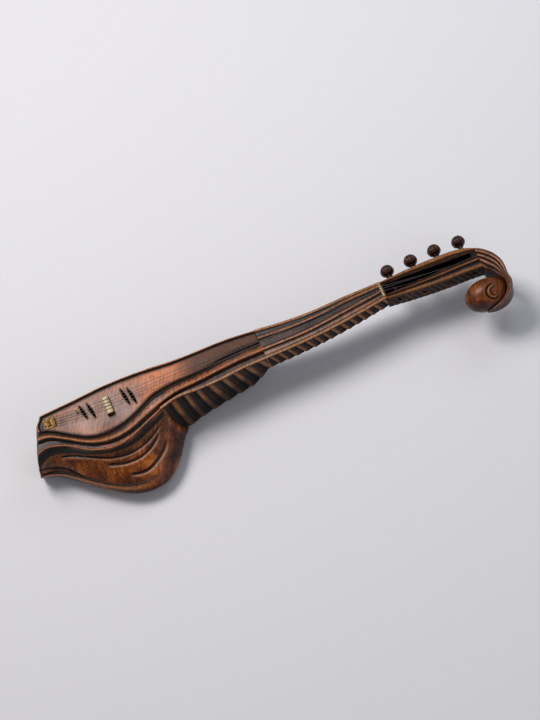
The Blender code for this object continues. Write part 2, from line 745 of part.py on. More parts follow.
def make_pegbox():
    bottom = FACE - NECK_DEPTH
    start = PEGBOX_X - NUT_X
    pegbox = loft("pegbox", [head_section(x, bottom) for x in spread(start, PEGBOX_LENGTH, 12)], BODY_WOOD)
    slot_rings = []
    for x in spread(SLOT_START, SLOT_END, 4):
        y, half = smooth(SLOT_CENTRE, x), smooth(SLOT_HALF_WIDTH, x)
        low, high = FACE - SLOT_DEPTH, FACE + 0.010
        slot_rings.append([(NUT_X + x, y - half, high), (NUT_X + x, y - half, low),
                           (NUT_X + x, y + half, low), (NUT_X + x, y + half, high)])
    cut(pegbox, as_cutter(loft("string_slot", slot_rings, BODY_WOOD, None)))
    for index in range(STRING_COUNT):
        x = peg_x(index)
        hole = cylinder(f"peg_hole_{index + 1}", (x, -0.070, PEG_Z), (x, 0.070, PEG_Z),
                        PEG_RADIUS + PEG_CLEARANCE, 16, BODY_WOOD)
        cut(pegbox, as_cutter(hole))


def make_pegs():
    for index in range(STRING_COUNT):
        x = peg_x(index) - NUT_X
        cheek = max(smooth(HEAD_UPPER, x - KNOB_RADIUS), smooth(HEAD_UPPER, x + KNOB_RADIUS))
        tip = smooth(HEAD_LOWER, x) - 0.003
        base = cheek + PEG_STAND
        end = base + KNOB_LENGTH
        radius = PEG_RADIUS
        profile = [(0, end), (KNOB_RADIUS * 0.35, end - 0.0006), (KNOB_RADIUS * 0.70, end - 0.004),
                   (KNOB_RADIUS * 0.93, end - 0.010), (KNOB_RADIUS, end - 0.016),
                   (KNOB_RADIUS * 0.85, end - 0.023), (radius + 0.003, base + 0.003),
                   (radius + 0.003, base), (radius, base), (radius, tip), (0, tip)]
        turned(f"peg_{index + 1}", profile, (NUT_X + x, 0, PEG_Z), DARK_WOOD)


def ellipse(degrees, extra):
    """A point round the boss, extra metres outside it, x from the nut."""
    angle = math.radians(degrees)
    return (BOSS_CENTRE[0] + (BOSS_RADII[0] + extra) * math.cos(angle),
            BOSS_CENTRE[1] + (BOSS_RADII[1] + extra) * math.sin(angle))


def make_crook_and_boss():
    start = PEGBOX_LENGTH + GAP
    pairs = [((start, smooth(HEAD_UPPER, PEGBOX_LENGTH)), (start, smooth(HEAD_LOWER, PEGBOX_LENGTH)))]
    pairs += list(zip(CROOK_OUTER, CROOK_INNER))
    for share in spread(0, 1, CROOK_STEPS):
        degrees = CROOK_TURN[0] + (CROOK_TURN[1] - CROOK_TURN[0]) * share
        width = CROOK_WIDTH[1] + (CROOK_WIDTH[0] - CROOK_WIDTH[1]) * (1 - share) ** 1.3
        pairs.append((ellipse(degrees, GAP * 2 + width), ellipse(degrees, GAP * 2)))
    rings = []
    for i, (outer, inner) in enumerate(pairs):
        share = i / (len(pairs) - 1)
        tip = max(0.0, (share - CROOK_TIP[0]) / (1 - CROOK_TIP[0])) ** 2
        top = FACE - CROOK_SINK * share ** 2 - CROOK_TIP[1] * tip
        bottom = FACE - NECK_DEPTH + CROOK_SINK * share + CROOK_TIP[2] * tip
        soft = min(0.003, math.dist(outer, inner) * 0.2)
        across = (Vector(inner) - Vector(outer)).normalized()
        a, b = Vector(outer) + across * soft, Vector(inner) - across * soft
        rings.append([(NUT_X + p[0], p[1], z) for p, z in (
            (a, top), (b, top), (inner, top - soft), (inner, bottom + soft), (b, bottom), (a, bottom),
            (outer, bottom + soft), (outer, top - soft))])
    loft("crook", rings, BODY_WOOD)
    bpy.ops.mesh.primitive_uv_sphere_add(segments=24, ring_count=12, radius=1)
    boss = bpy.context.object
    boss.location = (NUT_X + BOSS_CENTRE[0], BOSS_CENTRE[1], FACE - BOSS_DROP)
    boss.scale = BOSS_RADII
    bpy.ops.object.transform_apply(location=False, rotation=False, scale=True)
    place(boss, "scroll_boss", BODY_WOOD, 60)


# ---- strings and fittings ----------------------------------------------------------------------------

def string_top(x):
    """Height of the strings' centre line between tailpiece and nut."""
    bridge = (BRIDGE_X, FACE + BRIDGE_HEIGHT + GAP + STRING_RADIUS)
    nut = (NUT_X + NUT_LENGTH / 2, FACE + NUT_RISE + GAP + STRING_RADIUS)
    tail = (TAILPIECE[0][0] + TAILPIECE[1][0] / 2 + GAP, FACE + 0.0055)
    line = (tail, bridge) if x < BRIDGE_X else (bridge, nut)
    return smooth(line, x)


def string_y(index, x):
    """Y of a string between tailpiece and nut, index 0 nearest the straight edge."""
    step = (STRING_COUNT - 1) / 2 - index
    bridge = (BRIDGE_X, STRING_BRIDGE_Y + BRIDGE_PITCH * step)
    nut = (NUT_X + NUT_LENGTH / 2, STRING_NUT_Y + NUT_PITCH * step)
    tail = (TAILPIECE[0][0], TAILPIECE[0][1] + TAIL_PITCH * step)
    line = (tail, bridge) if x < BRIDGE_X else (bridge, nut)
    return smooth(line, x)


WINDING_RADIUS = PEG_RADIUS + GAP + 2 * STRING_RADIUS
WINDING_LENGTH = 0.0042
WINDING_LEAN = 0.30                     # share of the slot's half width
WINDING_SIDES = (1, -1, 1, 0)           # which side of the slot's middle each peg's winding sits


def winding_y(peg):
    """Middle of the string's turns on a peg."""
    x = peg_x(peg) - NUT_X
    half = smooth(SLOT_HALF_WIDTH, x)
    return smooth(SLOT_CENTRE, x) + WINDING_SIDES[peg] * WINDING_LEAN * half


def string_route(index):
    """A string's points: tailpiece, level over the bridge, nut, and the top of its peg's turns."""
    peg = STRING_PEGS[index]
    seat = 0.006                 # the level stretch reaches this far each side of the bridge's middle
    tail = TAILPIECE[0][0] + TAILPIECE[1][0] / 2 + GAP
    level = string_top(BRIDGE_X)
    places = [(tail, string_top(tail)), (BRIDGE_X - seat, level), (BRIDGE_X + seat, level),
              (NUT_X + 0.001, string_top(NUT_X)), (NUT_X + NUT_LENGTH, string_top(NUT_X + NUT_LENGTH))]
    reach = WINDING_RADIUS + STRING_RADIUS + GAP
    return [(x, string_y(index, x), z) for x, z in places] + [(peg_x(peg), winding_y(peg), PEG_Z + reach)]


def make_strings():
    for index in range(STRING_COUNT):
        peg = STRING_PEGS[index]
        wire(f"string_{index + 1}", string_route(index), STRING_RADIUS, STEEL)
        half = WINDING_LENGTH / 2
        inner = PEG_RADIUS + GAP
        profile = [(inner, half), (WINDING_RADIUS, half), (WINDING_RADIUS, -half), (inner, -half),
                   (inner, half)]
        turned(f"winding_{peg + 1}", profile, (peg_x(peg), winding_y(peg), PEG_Z), STEEL, 12)


def make_bead():
    """The fine-tuning bead, threaded on the first string behind the bridge."""
    tail, bridge = (Vector(point) for point in string_route(0)[:2])
    along = (bridge - tail).normalized()
    half = math.sqrt(BEAD_RADIUS ** 2 - BEAD_BORE ** 2)
    profile = [(BEAD_BORE, half), (BEAD_RADIUS * 0.75, half * 0.68), (BEAD_RADIUS, 0),
               (BEAD_RADIUS * 0.75, -half * 0.68), (BEAD_BORE, -half), (BEAD_BORE, half)]
    bead = turned("tuning_bead", profile, tail.lerp(bridge, BEAD_SHARE), BONE, 14)
    bead.rotation_euler = along.to_track_quat("Z", "Y").to_euler()


def make_bridge_and_nut():
    low, high = STRING_BRIDGE_Y - 0.023, STRING_BRIDGE_Y + 0.023
    seat = FACE + GAP
    shelf = FACE + BRIDGE_HEIGHT - 0.003
    foot_x, top_x = 0.0085, 0.0075
    foot = box("bridge_foot", (BRIDGE_X - foot_x, low, seat), (BRIDGE_X + foot_x, high, shelf), DARK_WOOD,
               0.0008)
    arch = box("bridge_arch", (BRIDGE_X - 0.02, low + 0.012, seat - 0.01),
               (BRIDGE_X + 0.02, high - 0.012, seat + 0.004), DARK_WOOD)
    cut(foot, as_cutter(arch))
    box("bridge_top", (BRIDGE_X - top_x, low + 0.002, shelf + GAP),
        (BRIDGE_X + top_x, high - 0.002, FACE + BRIDGE_HEIGHT), BONE, 0.0006)
    x = NUT_X + NUT_LENGTH / 2
    box("nut", (NUT_X, lower_edge(x) + STRIP + 2 * GAP, LEDGE + GAP),
        (NUT_X + NUT_LENGTH, upper_edge(x) - STRIP - 2 * GAP, FACE + NUT_RISE), BONE, 0.0006)


def make_tailpiece():
    (x, y), (length, width), thick = TAILPIECE
    back, front = x - length / 2, x + length / 2
    seat = FACE + GAP
    rise = FACE + 0.009
    section = ((back, seat), (front, seat), (front, rise), (front - thick, rise), (front - thick, seat + thick),
               (back, seat + thick))
    rings = [[(px, py, pz) for px, pz in section] for py in (y - width / 2, y + width / 2)]
    piece = loft("tailpiece", rings, BRASS)
    for number, side in enumerate(TAIL_SCREWS, 1):
        screw_x = x - 0.002
        shank = TAIL_SCREW_BORE - 0.0004
        top = seat + thick + GAP
        head = [(0, 0.0016), (0.0022, 0.0013), (0.0036, 0), (shank, 0), (shank, -0.012), (0, -0.013)]
        screw = turned(f"tail_screw_{number}", head, (screw_x, y + side, top), BRASS, 12)
        screw.rotation_euler = (0, 0, 0)
        hole = as_cutter(cylinder(f"tail_screw_hole_{number}", (screw_x, y + side, FACE - 0.018),
                                  (screw_x, y + side, FACE + 0.008), TAIL_SCREW_BORE, 12, BRASS))
        for target in (piece, bpy.data.objects["tail_block"]):
            cut(target, hole)


def screw_bores():
    """Outlines of the soundboard's two screw holes."""
    (x, y), _, _ = TAILPIECE
    bore = TAIL_SCREW_BORE
    turns = [2 * math.pi * k / 12 for k in range(12)]
    return [[(x - 0.002 + bore * math.cos(t), y + side + bore * math.sin(t)) for t in turns]
            for side in TAIL_SCREWS]


def main():
    clear_scene()
    new_collection(COLLECTION)
    new_collection(CUTTERS, hidden=True)
    make_bowl()
    make_soundboard()
    make_bindings()
    make_moulding_and_lip()
    make_inner_wood()
    make_heel_and_neck()
    make_fingerboard()
    make_pegbox()
    make_pegs()
    make_crook_and_boss()
    make_strings()
    make_bead()
    make_bridge_and_nut()
    make_tailpiece()


main()
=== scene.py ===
"""Looks of a carved long-necked sitar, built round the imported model's frame.

+X runs along the neck towards the head, +Y is the straight edge's side and +Z is out of the face.
Lengths are metres, and the plan curves are millimetres, as a maker would lay them out.
"""
import sys

import logging
import math
from collections.abc import Callable
from dataclasses import dataclass, field
from enum import Enum

import bmesh
import bpy
import numpy as np
from mathutils import Matrix, Vector
from mathutils.geometry import delaunay_2d_cdt


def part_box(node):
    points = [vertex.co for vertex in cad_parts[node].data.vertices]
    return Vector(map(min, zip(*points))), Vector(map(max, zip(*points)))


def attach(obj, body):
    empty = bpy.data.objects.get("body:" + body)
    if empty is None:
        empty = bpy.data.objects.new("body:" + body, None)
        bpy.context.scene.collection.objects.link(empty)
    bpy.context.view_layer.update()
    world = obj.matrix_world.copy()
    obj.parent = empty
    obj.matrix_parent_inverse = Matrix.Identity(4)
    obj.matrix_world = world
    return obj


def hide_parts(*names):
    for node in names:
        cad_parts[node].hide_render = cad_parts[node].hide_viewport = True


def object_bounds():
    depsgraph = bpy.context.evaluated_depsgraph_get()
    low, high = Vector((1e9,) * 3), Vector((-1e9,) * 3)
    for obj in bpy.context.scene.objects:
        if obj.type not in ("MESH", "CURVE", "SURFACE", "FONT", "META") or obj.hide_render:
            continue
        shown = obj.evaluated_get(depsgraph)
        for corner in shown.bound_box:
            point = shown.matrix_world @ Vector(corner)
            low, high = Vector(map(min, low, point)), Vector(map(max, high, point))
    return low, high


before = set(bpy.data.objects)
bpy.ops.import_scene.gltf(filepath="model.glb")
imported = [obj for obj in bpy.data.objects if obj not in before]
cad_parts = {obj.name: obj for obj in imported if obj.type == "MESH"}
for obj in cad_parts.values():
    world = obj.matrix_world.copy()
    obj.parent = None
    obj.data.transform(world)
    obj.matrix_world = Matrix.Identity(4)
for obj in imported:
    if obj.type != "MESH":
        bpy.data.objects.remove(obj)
CAD_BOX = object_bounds()
LOG = logging.getLogger("sitar")
ROOT_BODY = "instrument"

GAP = 0.0003              # glue line between two pieces
FACE = 0.120              # height of the face above the flat back
LEDGE = 0.1125            # the step that the edge strips lie on
HEEL_END = 0.388          # where the heel stops and the neck starts
NECK_LENGTH = 0.290
NECK_DEPTH = 0.0535
NUT_X = HEEL_END + NECK_LENGTH
STRIP = 0.005             # thickness of the carved side strips
UPPER_LAND = 0.0090       # width of the ledge under the upper edge strip
BOARD_THICKNESS = 0.003
CARVER_TILT = (0.9063, 0.4226)    # cosine and sine of the 25 degrees that the bowl is tilted up to be cut

Curve = Callable[[np.ndarray], np.ndarray]


# ---- plan of the instrument --------------------------------------------------------------------

class Line:
    """A smooth line through points, and straight on past its ends."""

    def __init__(self, *points: tuple[float, float], unit: float = 0.001) -> None:
        """Fits the line.

        Args:
            points: places along the line and its height there.
            unit: metres for one unit of both numbers.
        """
        self.places, self.heights = (np.array(points, dtype=float) * unit).T
        self.slopes = np.gradient(self.heights, self.places)

    def __call__(self, x: np.ndarray | float) -> np.ndarray:
        """Heights of the line.

        Args:
            x: one place or an array of places.

        Returns:
            The height at each place.
        """
        inside = np.clip(x, self.places[0], self.places[-1])
        i = np.clip(np.searchsorted(self.places, inside) - 1, 0, len(self.places) - 2)
        span = self.places[i + 1] - self.places[i]
        t = (inside - self.places[i]) / span
        value = ((1 + 2 * t) * (1 - t) ** 2 * self.heights[i] + t * (1 - t) ** 2 * span * self.slopes[i]
                 + t * t * (3 - 2 * t) * self.heights[i + 1] + t * t * (t - 1) * span * self.slopes[i + 1])
        return value + (x - inside) * np.where(x < self.places[0], self.slopes[0], self.slopes[-1])


class Plan:
    """Plan curves that bowl, heel, neck and their edge strips share."""

    upper_line = Line((-190, 60), (-135, 64), (-43, 67), (28, 70), (104, 67), (192, 57), (334, 50),
                      (388, 43))
    board = Line((-160, 30), (-123, 23), (-94, 5), (-74, -10), (-45, -28), (-15, -38), (15, -39),
                 (48, -33), (85, -19), (122, -2), (155, 4), (243, 6), (333, 14), (388, 12))
    bead = Line((-160, 13), (-122, 8), (-90, -12), (-36, -46), (15, -57), (56, -51), (92, -38),
                (128, -26), (162, -17), (235, -13), (330, -8), (388, -9))
    moulding = Line((-170, -20), (-139, -11), (-106, -19), (-43, -60), (5, -74), (45, -69), (85, -54),
                    (128, -37))
    shoulder = Line((-178, -32), (-153, -27), (-129, -23), (-101, -32), (-46, -62), (3, -77), (49, -76),
                    (85, -63), (122, -47), (150, -42))
    lower_girth = Line((-190, -36), (-158, -44), (-132, -59), (-98, -90), (-65, -119), (1, -163),
                       (43, -173), (88, -162), (123, -128), (152, -85), (166, -70))
    upper_girth = Line((-190, 62), (-150, 70), (-90, 84), (0, 96), (80, 97), (150, 86), (206, 77),
                       (257, 68), (330, 56), (388, 43))
    heel_top = Line((125, -42), (172, -32), (227, -35), (284, -35), (336, -32), (388, -33))
    heel_girth = Line((125, -72), (154, -66), (206, -53), (257, -46), (330, -37), (388, -33))
    heel_base = Line((330, 0), (352, 12), (372, 36), (388, 56))
    heel_keel = Line((125, 12), (206, 9), (257, 12), (330, 16), (388, 6))
    neck_upper = Line((0, 0.043), (0.15, 0.036), (0.42, 0.0285), (0.75, 0.028), (1, 0.026), unit=1)
    neck_lower = Line((0, -0.033), (0.31, -0.034), (0.52, -0.032), (0.76, -0.026), (1, -0.018), unit=1)
    middle_rail = Line((0, 0.020), (0.43, 0.012), (0.72, 0.016), (1, 0.0165), unit=1)
    lower_rail = Line((0, -0.009), (0.38, -0.012), (0.70, -0.005), (1, 0.003), unit=1)
    shoulder_drop = 0.028     # shoulder below the face, where the carved side starts
    girth_height = 0.030      # widest level above the back
    heel_foot_end = 0.330     # where the heel's underside leaves the back's level
    neck_start_base = 0.056   # height of the neck's underside at the heel
    side_slack = 0.8          # share of the side's depth where it is fullest
    side_rest = 0.2           # the share below that, where it draws in

    @staticmethod
    def neck_share(x: np.ndarray) -> np.ndarray:
        """Share of the neck's length at x."""
        return (x - HEEL_END) / NECK_LENGTH

    @classmethod
    def upper_edge(cls, x: np.ndarray) -> np.ndarray:
        """The straight edge of the face, from tail to nut."""
        return np.where(x <= HEEL_END, cls.upper_line(x), cls.neck_upper(cls.neck_share(x)))

    @classmethod
    def lower_edge(cls, x: np.ndarray) -> np.ndarray:
        """The lobed strip's top line along heel and neck."""
        return np.where(x <= HEEL_END, cls.heel_top(x), cls.neck_lower(cls.neck_share(x)))

    @classmethod
    def board_far(cls, x: np.ndarray) -> np.ndarray:
        """The soundboard's side along the straight edge."""
        return cls.upper_edge(x) - UPPER_LAND

    @classmethod
    def binding_outer(cls, x: np.ndarray) -> np.ndarray:
        """Outer side of the lower binding."""
        return cls.bead(x) - 0.0075

    @classmethod
    def base_height(cls, x: np.ndarray) -> np.ndarray:
        """Lowest point of heel and neck.

        Args:
            x: places along the instrument.

        Returns:
            Height of the underside at each place.
        """
        rise = cls.heel_base(np.minimum(x, HEEL_END))
        climb = FACE - NECK_DEPTH - cls.neck_start_base
        along = cls.neck_start_base + climb * np.clip(cls.neck_share(x), 0, 1)
        return np.where(x <= cls.heel_foot_end, 0.0, np.where(x <= HEEL_END, np.maximum(0.0, rise), along))

    @classmethod
    def side_y(cls, x: np.ndarray, share: np.ndarray, upper: bool) -> np.ndarray:
        """Outer side of heel and neck.

        Args:
            x: places along the instrument.
            share: share of the depth below the face.
            upper: the straight edge's side, or else the bulging side.

        Returns:
            Y of the outer side.
        """
        edge = cls.upper_edge(x) if upper else cls.lower_edge(x)
        girth = np.where(x < HEEL_END, (cls.upper_girth if upper else cls.heel_girth)(x), edge)
        keel = cls.heel_keel(np.minimum(x, HEEL_END))
        swell = np.sin(math.pi / 2 * np.minimum(1.0, share / cls.side_slack))
        tuck = keel * np.maximum(0.0, (share - cls.side_slack) / cls.side_rest) ** 2
        return edge + (girth - edge) * swell + (-tuck if upper else tuck)

    @staticmethod
    def tail_x(y: np.ndarray, z: np.ndarray) -> np.ndarray:
        """X of the slanting tail end."""
        return -0.152 + 0.40 * y - 0.188 * (FACE - z)

    @staticmethod
    def joint_x(z: np.ndarray) -> np.ndarray:
        """X of the slanting joint between bowl and heel."""
        return 0.129 + 0.30 * (FACE - z)

    @classmethod
    def side_height(cls, share: np.ndarray) -> np.ndarray:
        """Height of the bowl's side at a share of the way from shoulder to girth."""
        top = FACE - cls.shoulder_drop
        return top + (cls.girth_height - top) * share

    @classmethod
    def lower_side(cls, x: np.ndarray, share: float, inset: float = 0.0) -> np.ndarray:
        """Y of the bowl's bulging side at a share of the way from shoulder to girth."""
        swell = 1 - (1 - share) ** 1.5
        return (cls.shoulder(x) - 0.002) * (1 - swell) + cls.lower_girth(x) * swell + inset

    @classmethod
    def upper_side(cls, x: np.ndarray, share: float, inset: float = 0.0) -> np.ndarray:
        """Y of the bowl's straight side at a share of the way from face to girth."""
        swell = math.sin(math.pi / 2 * share)
        return cls.upper_edge(x) * (1 - swell) + cls.upper_girth(x) * swell - inset

    @classmethod
    def run(cls, curve: Curve, z: float, end: float, count: int, inset: float = 0.0,
            offset: float = 0.0) -> np.ndarray:
        """Points along a plan curve at one height, from the tail's plane on.

        Args:
            curve: function from X to Y.
            z: height of the points.
            end: X of the last point.
            count: number of points.
            inset: distance kept from the tail's plane.
            offset: distance added to Y.

        Returns:
            An array of count points.
        """
        start = -0.110
        for _ in range(12):
            start = float(cls.tail_x(curve(np.array(start)), z))
        x = np.linspace(start + inset, end, count)
        return np.stack([x, curve(x) + offset, np.full(count, z)], axis=1)


# ---- carving and meshes ------------------------------------------------------------------------

def ease(value: np.ndarray) -> np.ndarray:
    """Smooth step from 0 to 1."""
    t = np.clip(value, 0, 1)
    return t * t * (3 - 2 * t)


def hump(distance: np.ndarray, width: float) -> np.ndarray:
    """1 on a line and fading to 0 beside it, with distance and width in the same unit."""
    return np.exp(-(distance / width) ** 2)


def round_over(lines: np.ndarray, steps: int) -> np.ndarray:
    """More lines between lines, on a smooth curve through them.

    Args:
        lines: array of lines, each an array of points.
        steps: number of spans put in place of each one.

    Returns:
        The longer array of lines.
    """
    ends = np.concatenate([2 * lines[:1] - lines[1:2], lines, 2 * lines[-1:] - lines[-2:-1]])
    rows = []
    for i in range(1, len(ends) - 2):
        for t in np.arange(steps) / steps:
            rows.append(0.5 * (2 * ends[i] + (ends[i + 1] - ends[i - 1]) * t
                               + (2 * ends[i - 1] - 5 * ends[i] + 4 * ends[i + 1] - ends[i + 2]) * t ** 2
                               + (3 * ends[i] - ends[i - 1] - 3 * ends[i + 1] + ends[i + 2]) * t ** 3))
    return np.array(rows + [lines[-1]])


class Relief:
    """A closed skin being carved: rings of points, with the stain and painted shade of its cuts and the wear
    and painted highlight of its crests.
    """

    def __init__(self, points: np.ndarray) -> None:
        """Starts from an uncarved skin.

        Args:
            points: rings along the piece, each a closed ring of equally many points.
        """
        self.points = np.asarray(points, dtype=float)
        self.stain_and_shade = np.zeros(self.points.shape[:2])
        self.wear_and_highlight = np.zeros(self.points.shape[:2])

    def outward(self) -> np.ndarray:
        """Unit vectors pointing out of the skin.

        Returns:
            One vector for each point.
        """
        along = np.gradient(self.points, axis=0)
        round_it = np.roll(self.points, -1, axis=1) - np.roll(self.points, 1, axis=1)
        normal = np.cross(along, round_it)
        middle = self.points.mean(axis=1, keepdims=True)
        if np.sum(normal * (self.points - middle)) < 0:
            normal = -normal
        return normal / np.maximum(np.linalg.norm(normal, axis=2, keepdims=True), 1e-12)

    def view_plane(self) -> tuple[np.ndarray, np.ndarray]:
        """Places on the plane that a carver faces with the bowl tilted up.

        Returns:
            U along the instrument and V across it, in millimetres.
        """
        x, y, z = np.moveaxis(self.points, 2, 0)
        level, upright = CARVER_TILT
        return x * 1000, (level * y + upright * (z - FACE)) * 1000

    def carve(self, depth: np.ndarray, stain_and_shade: np.ndarray | float = 0.0,
              wear_and_highlight: np.ndarray | float = 0.0) -> None:
        """Sinks the skin.

        Args:
            depth: metres cut away at each point.
            stain_and_shade: how dark the cut is painted, with stain and painted shade together, 0 to 1.
            wear_and_highlight: how light its edge is painted, with wear and painted highlight together, 0 to
                1.
        """
        self.points = self.points - self.outward() * depth[..., None]
        self.mark(stain_and_shade, wear_and_highlight)

    def mark(self, stain_and_shade: np.ndarray | float = 0.0, wear_and_highlight: np.ndarray | float = 0.0) -> None:
        """Adds stain and painted shade, and wear and painted highlight, without cutting."""
        self.stain_and_shade = np.clip(np.maximum(self.stain_and_shade, stain_and_shade), 0, 1)
        self.wear_and_highlight = np.clip(np.maximum(self.wear_and_highlight, wear_and_highlight), 0, 1)

    def build(self, name: str, sharp: float = 60.0, capped: bool = True) -> bpy.types.Object:
        """Makes the mesh object.

        Args:
            name: name of the piece.
            sharp: angle in degrees above which an edge stays sharp.
            capped: whether the first and last rings are filled, or else they meet each other.

        Returns:
            The new object.
        """
        rows, columns = self.stain_and_shade.shape
        index = np.arange(rows * columns).reshape(rows, columns)
        turned = np.roll(index, -1, axis=1)
        quads = np.stack([index[:-1], turned[:-1], turned[1:], index[1:]], axis=-1).reshape(-1, 4)
        caps = [index[0][::-1].tolist(), index[-1].tolist()] if capped else []
        obj = mesh_object(name, self.points.reshape(-1, 3), quads.tolist() + caps, self.stain_and_shade.ravel(),
                          self.wear_and_highlight.ravel())
        return finish_mesh(obj, sharp)


def mesh_object(name: str, points: np.ndarray, faces: list[list[int]], stain_and_shade: np.ndarray,
                wear_and_highlight: np.ndarray) -> bpy.types.Object:
    """Makes a mesh object with its stain and painted shade, and its wear and painted highlight, stored on its
    points.

    Args:
        name: name of the piece.
        points: array of points.
        faces: lists of point numbers.
        stain_and_shade: darkness at each point, from stain and painted shade.
        wear_and_highlight: lightness at each point, from wear and painted highlight.

    Returns:
        The new object, linked to the scene.
    """
    mesh = bpy.data.meshes.new(name)
    inside = np.clip(points, np.array(CAD_BOX[0]), np.array(CAD_BOX[1]))
    mesh.from_pydata(inside.tolist(), [], faces)
    for label, values in (("stain_and_shade", stain_and_shade), ("wear_and_highlight", wear_and_highlight)):
        layer = mesh.attributes.new(label, "FLOAT", "POINT")
        layer.data.foreach_set("value", np.asarray(values, dtype=np.float32))
    obj = bpy.data.objects.new(name, mesh)
    bpy.context.scene.collection.objects.link(obj)
    return obj


def finish_mesh(obj: bpy.types.Object, sharp: float) -> bpy.types.Object:
    """Joins doubled points, turns all faces outward and shades the mesh smooth.

    Args:
        obj: mesh object.
        sharp: angle in degrees above which an edge stays sharp.

    Returns:
        The same object.
    """
    work = bmesh.new()
    work.from_mesh(obj.data)
    bmesh.ops.remove_doubles(work, verts=work.verts, dist=1e-6)
    bmesh.ops.recalc_face_normals(work, faces=work.faces)
    work.to_mesh(obj.data)
    work.free()
    obj.data.shade_smooth()
    obj.data.set_sharp_from_angle(angle=math.radians(sharp))
    return obj


def lathe(profile: np.ndarray, centre: tuple[float, float, float], sides: int) -> Relief:
    """A body turned about the Y axis.

    Args:
        profile: rows of radius and Y.
        centre: a point on the axis.
        sides: points round the axis.

    Returns:
        Its uncarved skin.
    """
    turn = np.linspace(0, 2 * math.pi, sides, endpoint=False)
    radius, y = profile[:, :1], profile[:, 1:]
    points = np.stack([centre[0] + radius * np.cos(turn), centre[1] + y + 0 * turn,
                       centre[2] + radius * np.sin(turn)], axis=2)
    return Relief(points)


def tube(points: np.ndarray, radius: float, sides: int = 10) -> Relief:
    """A round wire along a path.

    Args:
        points: the path.
        radius: radius of the wire.
        sides: points round it.

    Returns:
        Its skin.
    """
    along = np.gradient(points, axis=0)
    along /= np.linalg.norm(along, axis=1, keepdims=True)
    side = np.cross(along, (0.0, 1.0, 0.0))
    side /= np.linalg.norm(side, axis=1, keepdims=True)
    other = np.cross(along, side)
    turn = np.linspace(0, 2 * math.pi, sides, endpoint=False)[None, :, None]
    return Relief(points[:, None] + radius * (np.cos(turn) * side[:, None] + np.sin(turn) * other[:, None]))


def cut_away(obj: bpy.types.Object, cutter: bpy.types.Object) -> None:
    """Cuts one mesh out of another and removes the cutting shape.

    Args:
        obj: object that is cut.
        cutter: object that is cut away.
    """
    hole = obj.modifiers.new("hole", "BOOLEAN")
    hole.object = cutter
    hole.solver = "EXACT"
    bpy.context.view_layer.objects.active = obj
    bpy.ops.object.modifier_apply(modifier=hole.name)
    bpy.data.objects.remove(cutter, do_unlink=True)


@dataclass(frozen=True)
class Groove:
    """A knife-cut groove on the bowl's side: its line on the carver's plane, and its section.

    Depth is metres and the rest is millimetres on the carver's plane.
    """

    line: Line
    start: float
    end: float
    depth: float
    width: float
    crest: float = 0.8        # how light the groove's lower lip is painted, with wear and painted highlight
    taper: float = 14.0

    def cut(self, relief: Relief, where: np.ndarray) -> None:
        """Carves the groove.

        Args:
            relief: skin to carve.
            where: share of the cut allowed at each point.
        """
        u, v = relief.view_plane()
        slope = (self.line(u + 0.5) - self.line(u - 0.5))
        off = (v - self.line(u)) / np.sqrt(1 + slope ** 2)
        held = ease((u - self.start) / self.taper) * ease((self.end - u) / self.taper) * where
        # The cut is painted dark with stain and painted shade, and its lower lip light with wear and painted
        # highlight.
        relief.carve(self.depth * hump(off, self.width) * held,
                     stain_and_shade=1.1 * hump(off - 0.4, self.width * 1.15) * held,
                     wear_and_highlight=self.crest * hump(off + self.width * 1.9, self.width * 0.75) * held)


# ---- finishes ------------------------------------------------------------------------------------

def linear(colour: str) -> tuple[float, float, float, float]:
    """Turns an sRGB colour to linear.

    Args:
        colour: "#rrggbb".

    Returns:
        Linear red, green and blue, and an alpha of 1.
    """
    values = [int(colour[i:i + 2], 16) / 255 for i in (1, 3, 5)]
    return (*(v / 12.92 if v <= 0.04045 else ((v + 0.055) / 1.055) ** 2.4 for v in values), 1.0)


def add_node(tree: bpy.types.NodeTree, kind: str, settings: dict | None = None,
             inputs: dict | None = None, stops: list | None = None) -> bpy.types.Node:
    """Adds one node with its settings and links.

    Args:
        tree: tree that gets the node.
        kind: the node's type name.
        settings: properties of the node.
        inputs: values or output sockets for its inputs, by name or number.
        stops: places and colours of a colour ramp.

    Returns:
        The new node.
    """
    node = tree.nodes.new(kind)
    for key, value in (settings or {}).items():
        setattr(node, key, value)
    for key, value in (inputs or {}).items():
        if isinstance(value, bpy.types.NodeSocket):
            tree.links.new(value, node.inputs[key])
        else:
            node.inputs[key].default_value = value
    for i, (place, colour) in enumerate(stops or []):
        stop = node.color_ramp.elements[i] if i < 2 else node.color_ramp.elements.new(place)
        stop.position = place
        stop.color = colour
    return node


def grey(value: float) -> tuple[float, float, float, float]:
    """A linear grey."""
    return (value, value, value, 1.0)


def blank_material(name: str) -> tuple[bpy.types.Material, bpy.types.NodeTree, bpy.types.Node]:
    """Makes an empty material.

    Args:
        name: name of the material.

    Returns:
        The material, its tree and its Principled node.
    """
    material = bpy.data.materials.new(name)
    material.use_nodes = True
    tree = material.node_tree
    return material, tree, tree.nodes["Principled BSDF"]


GRAIN_TURN = -66.0        # degrees: the grain runs across the instrument, as the plank was cut


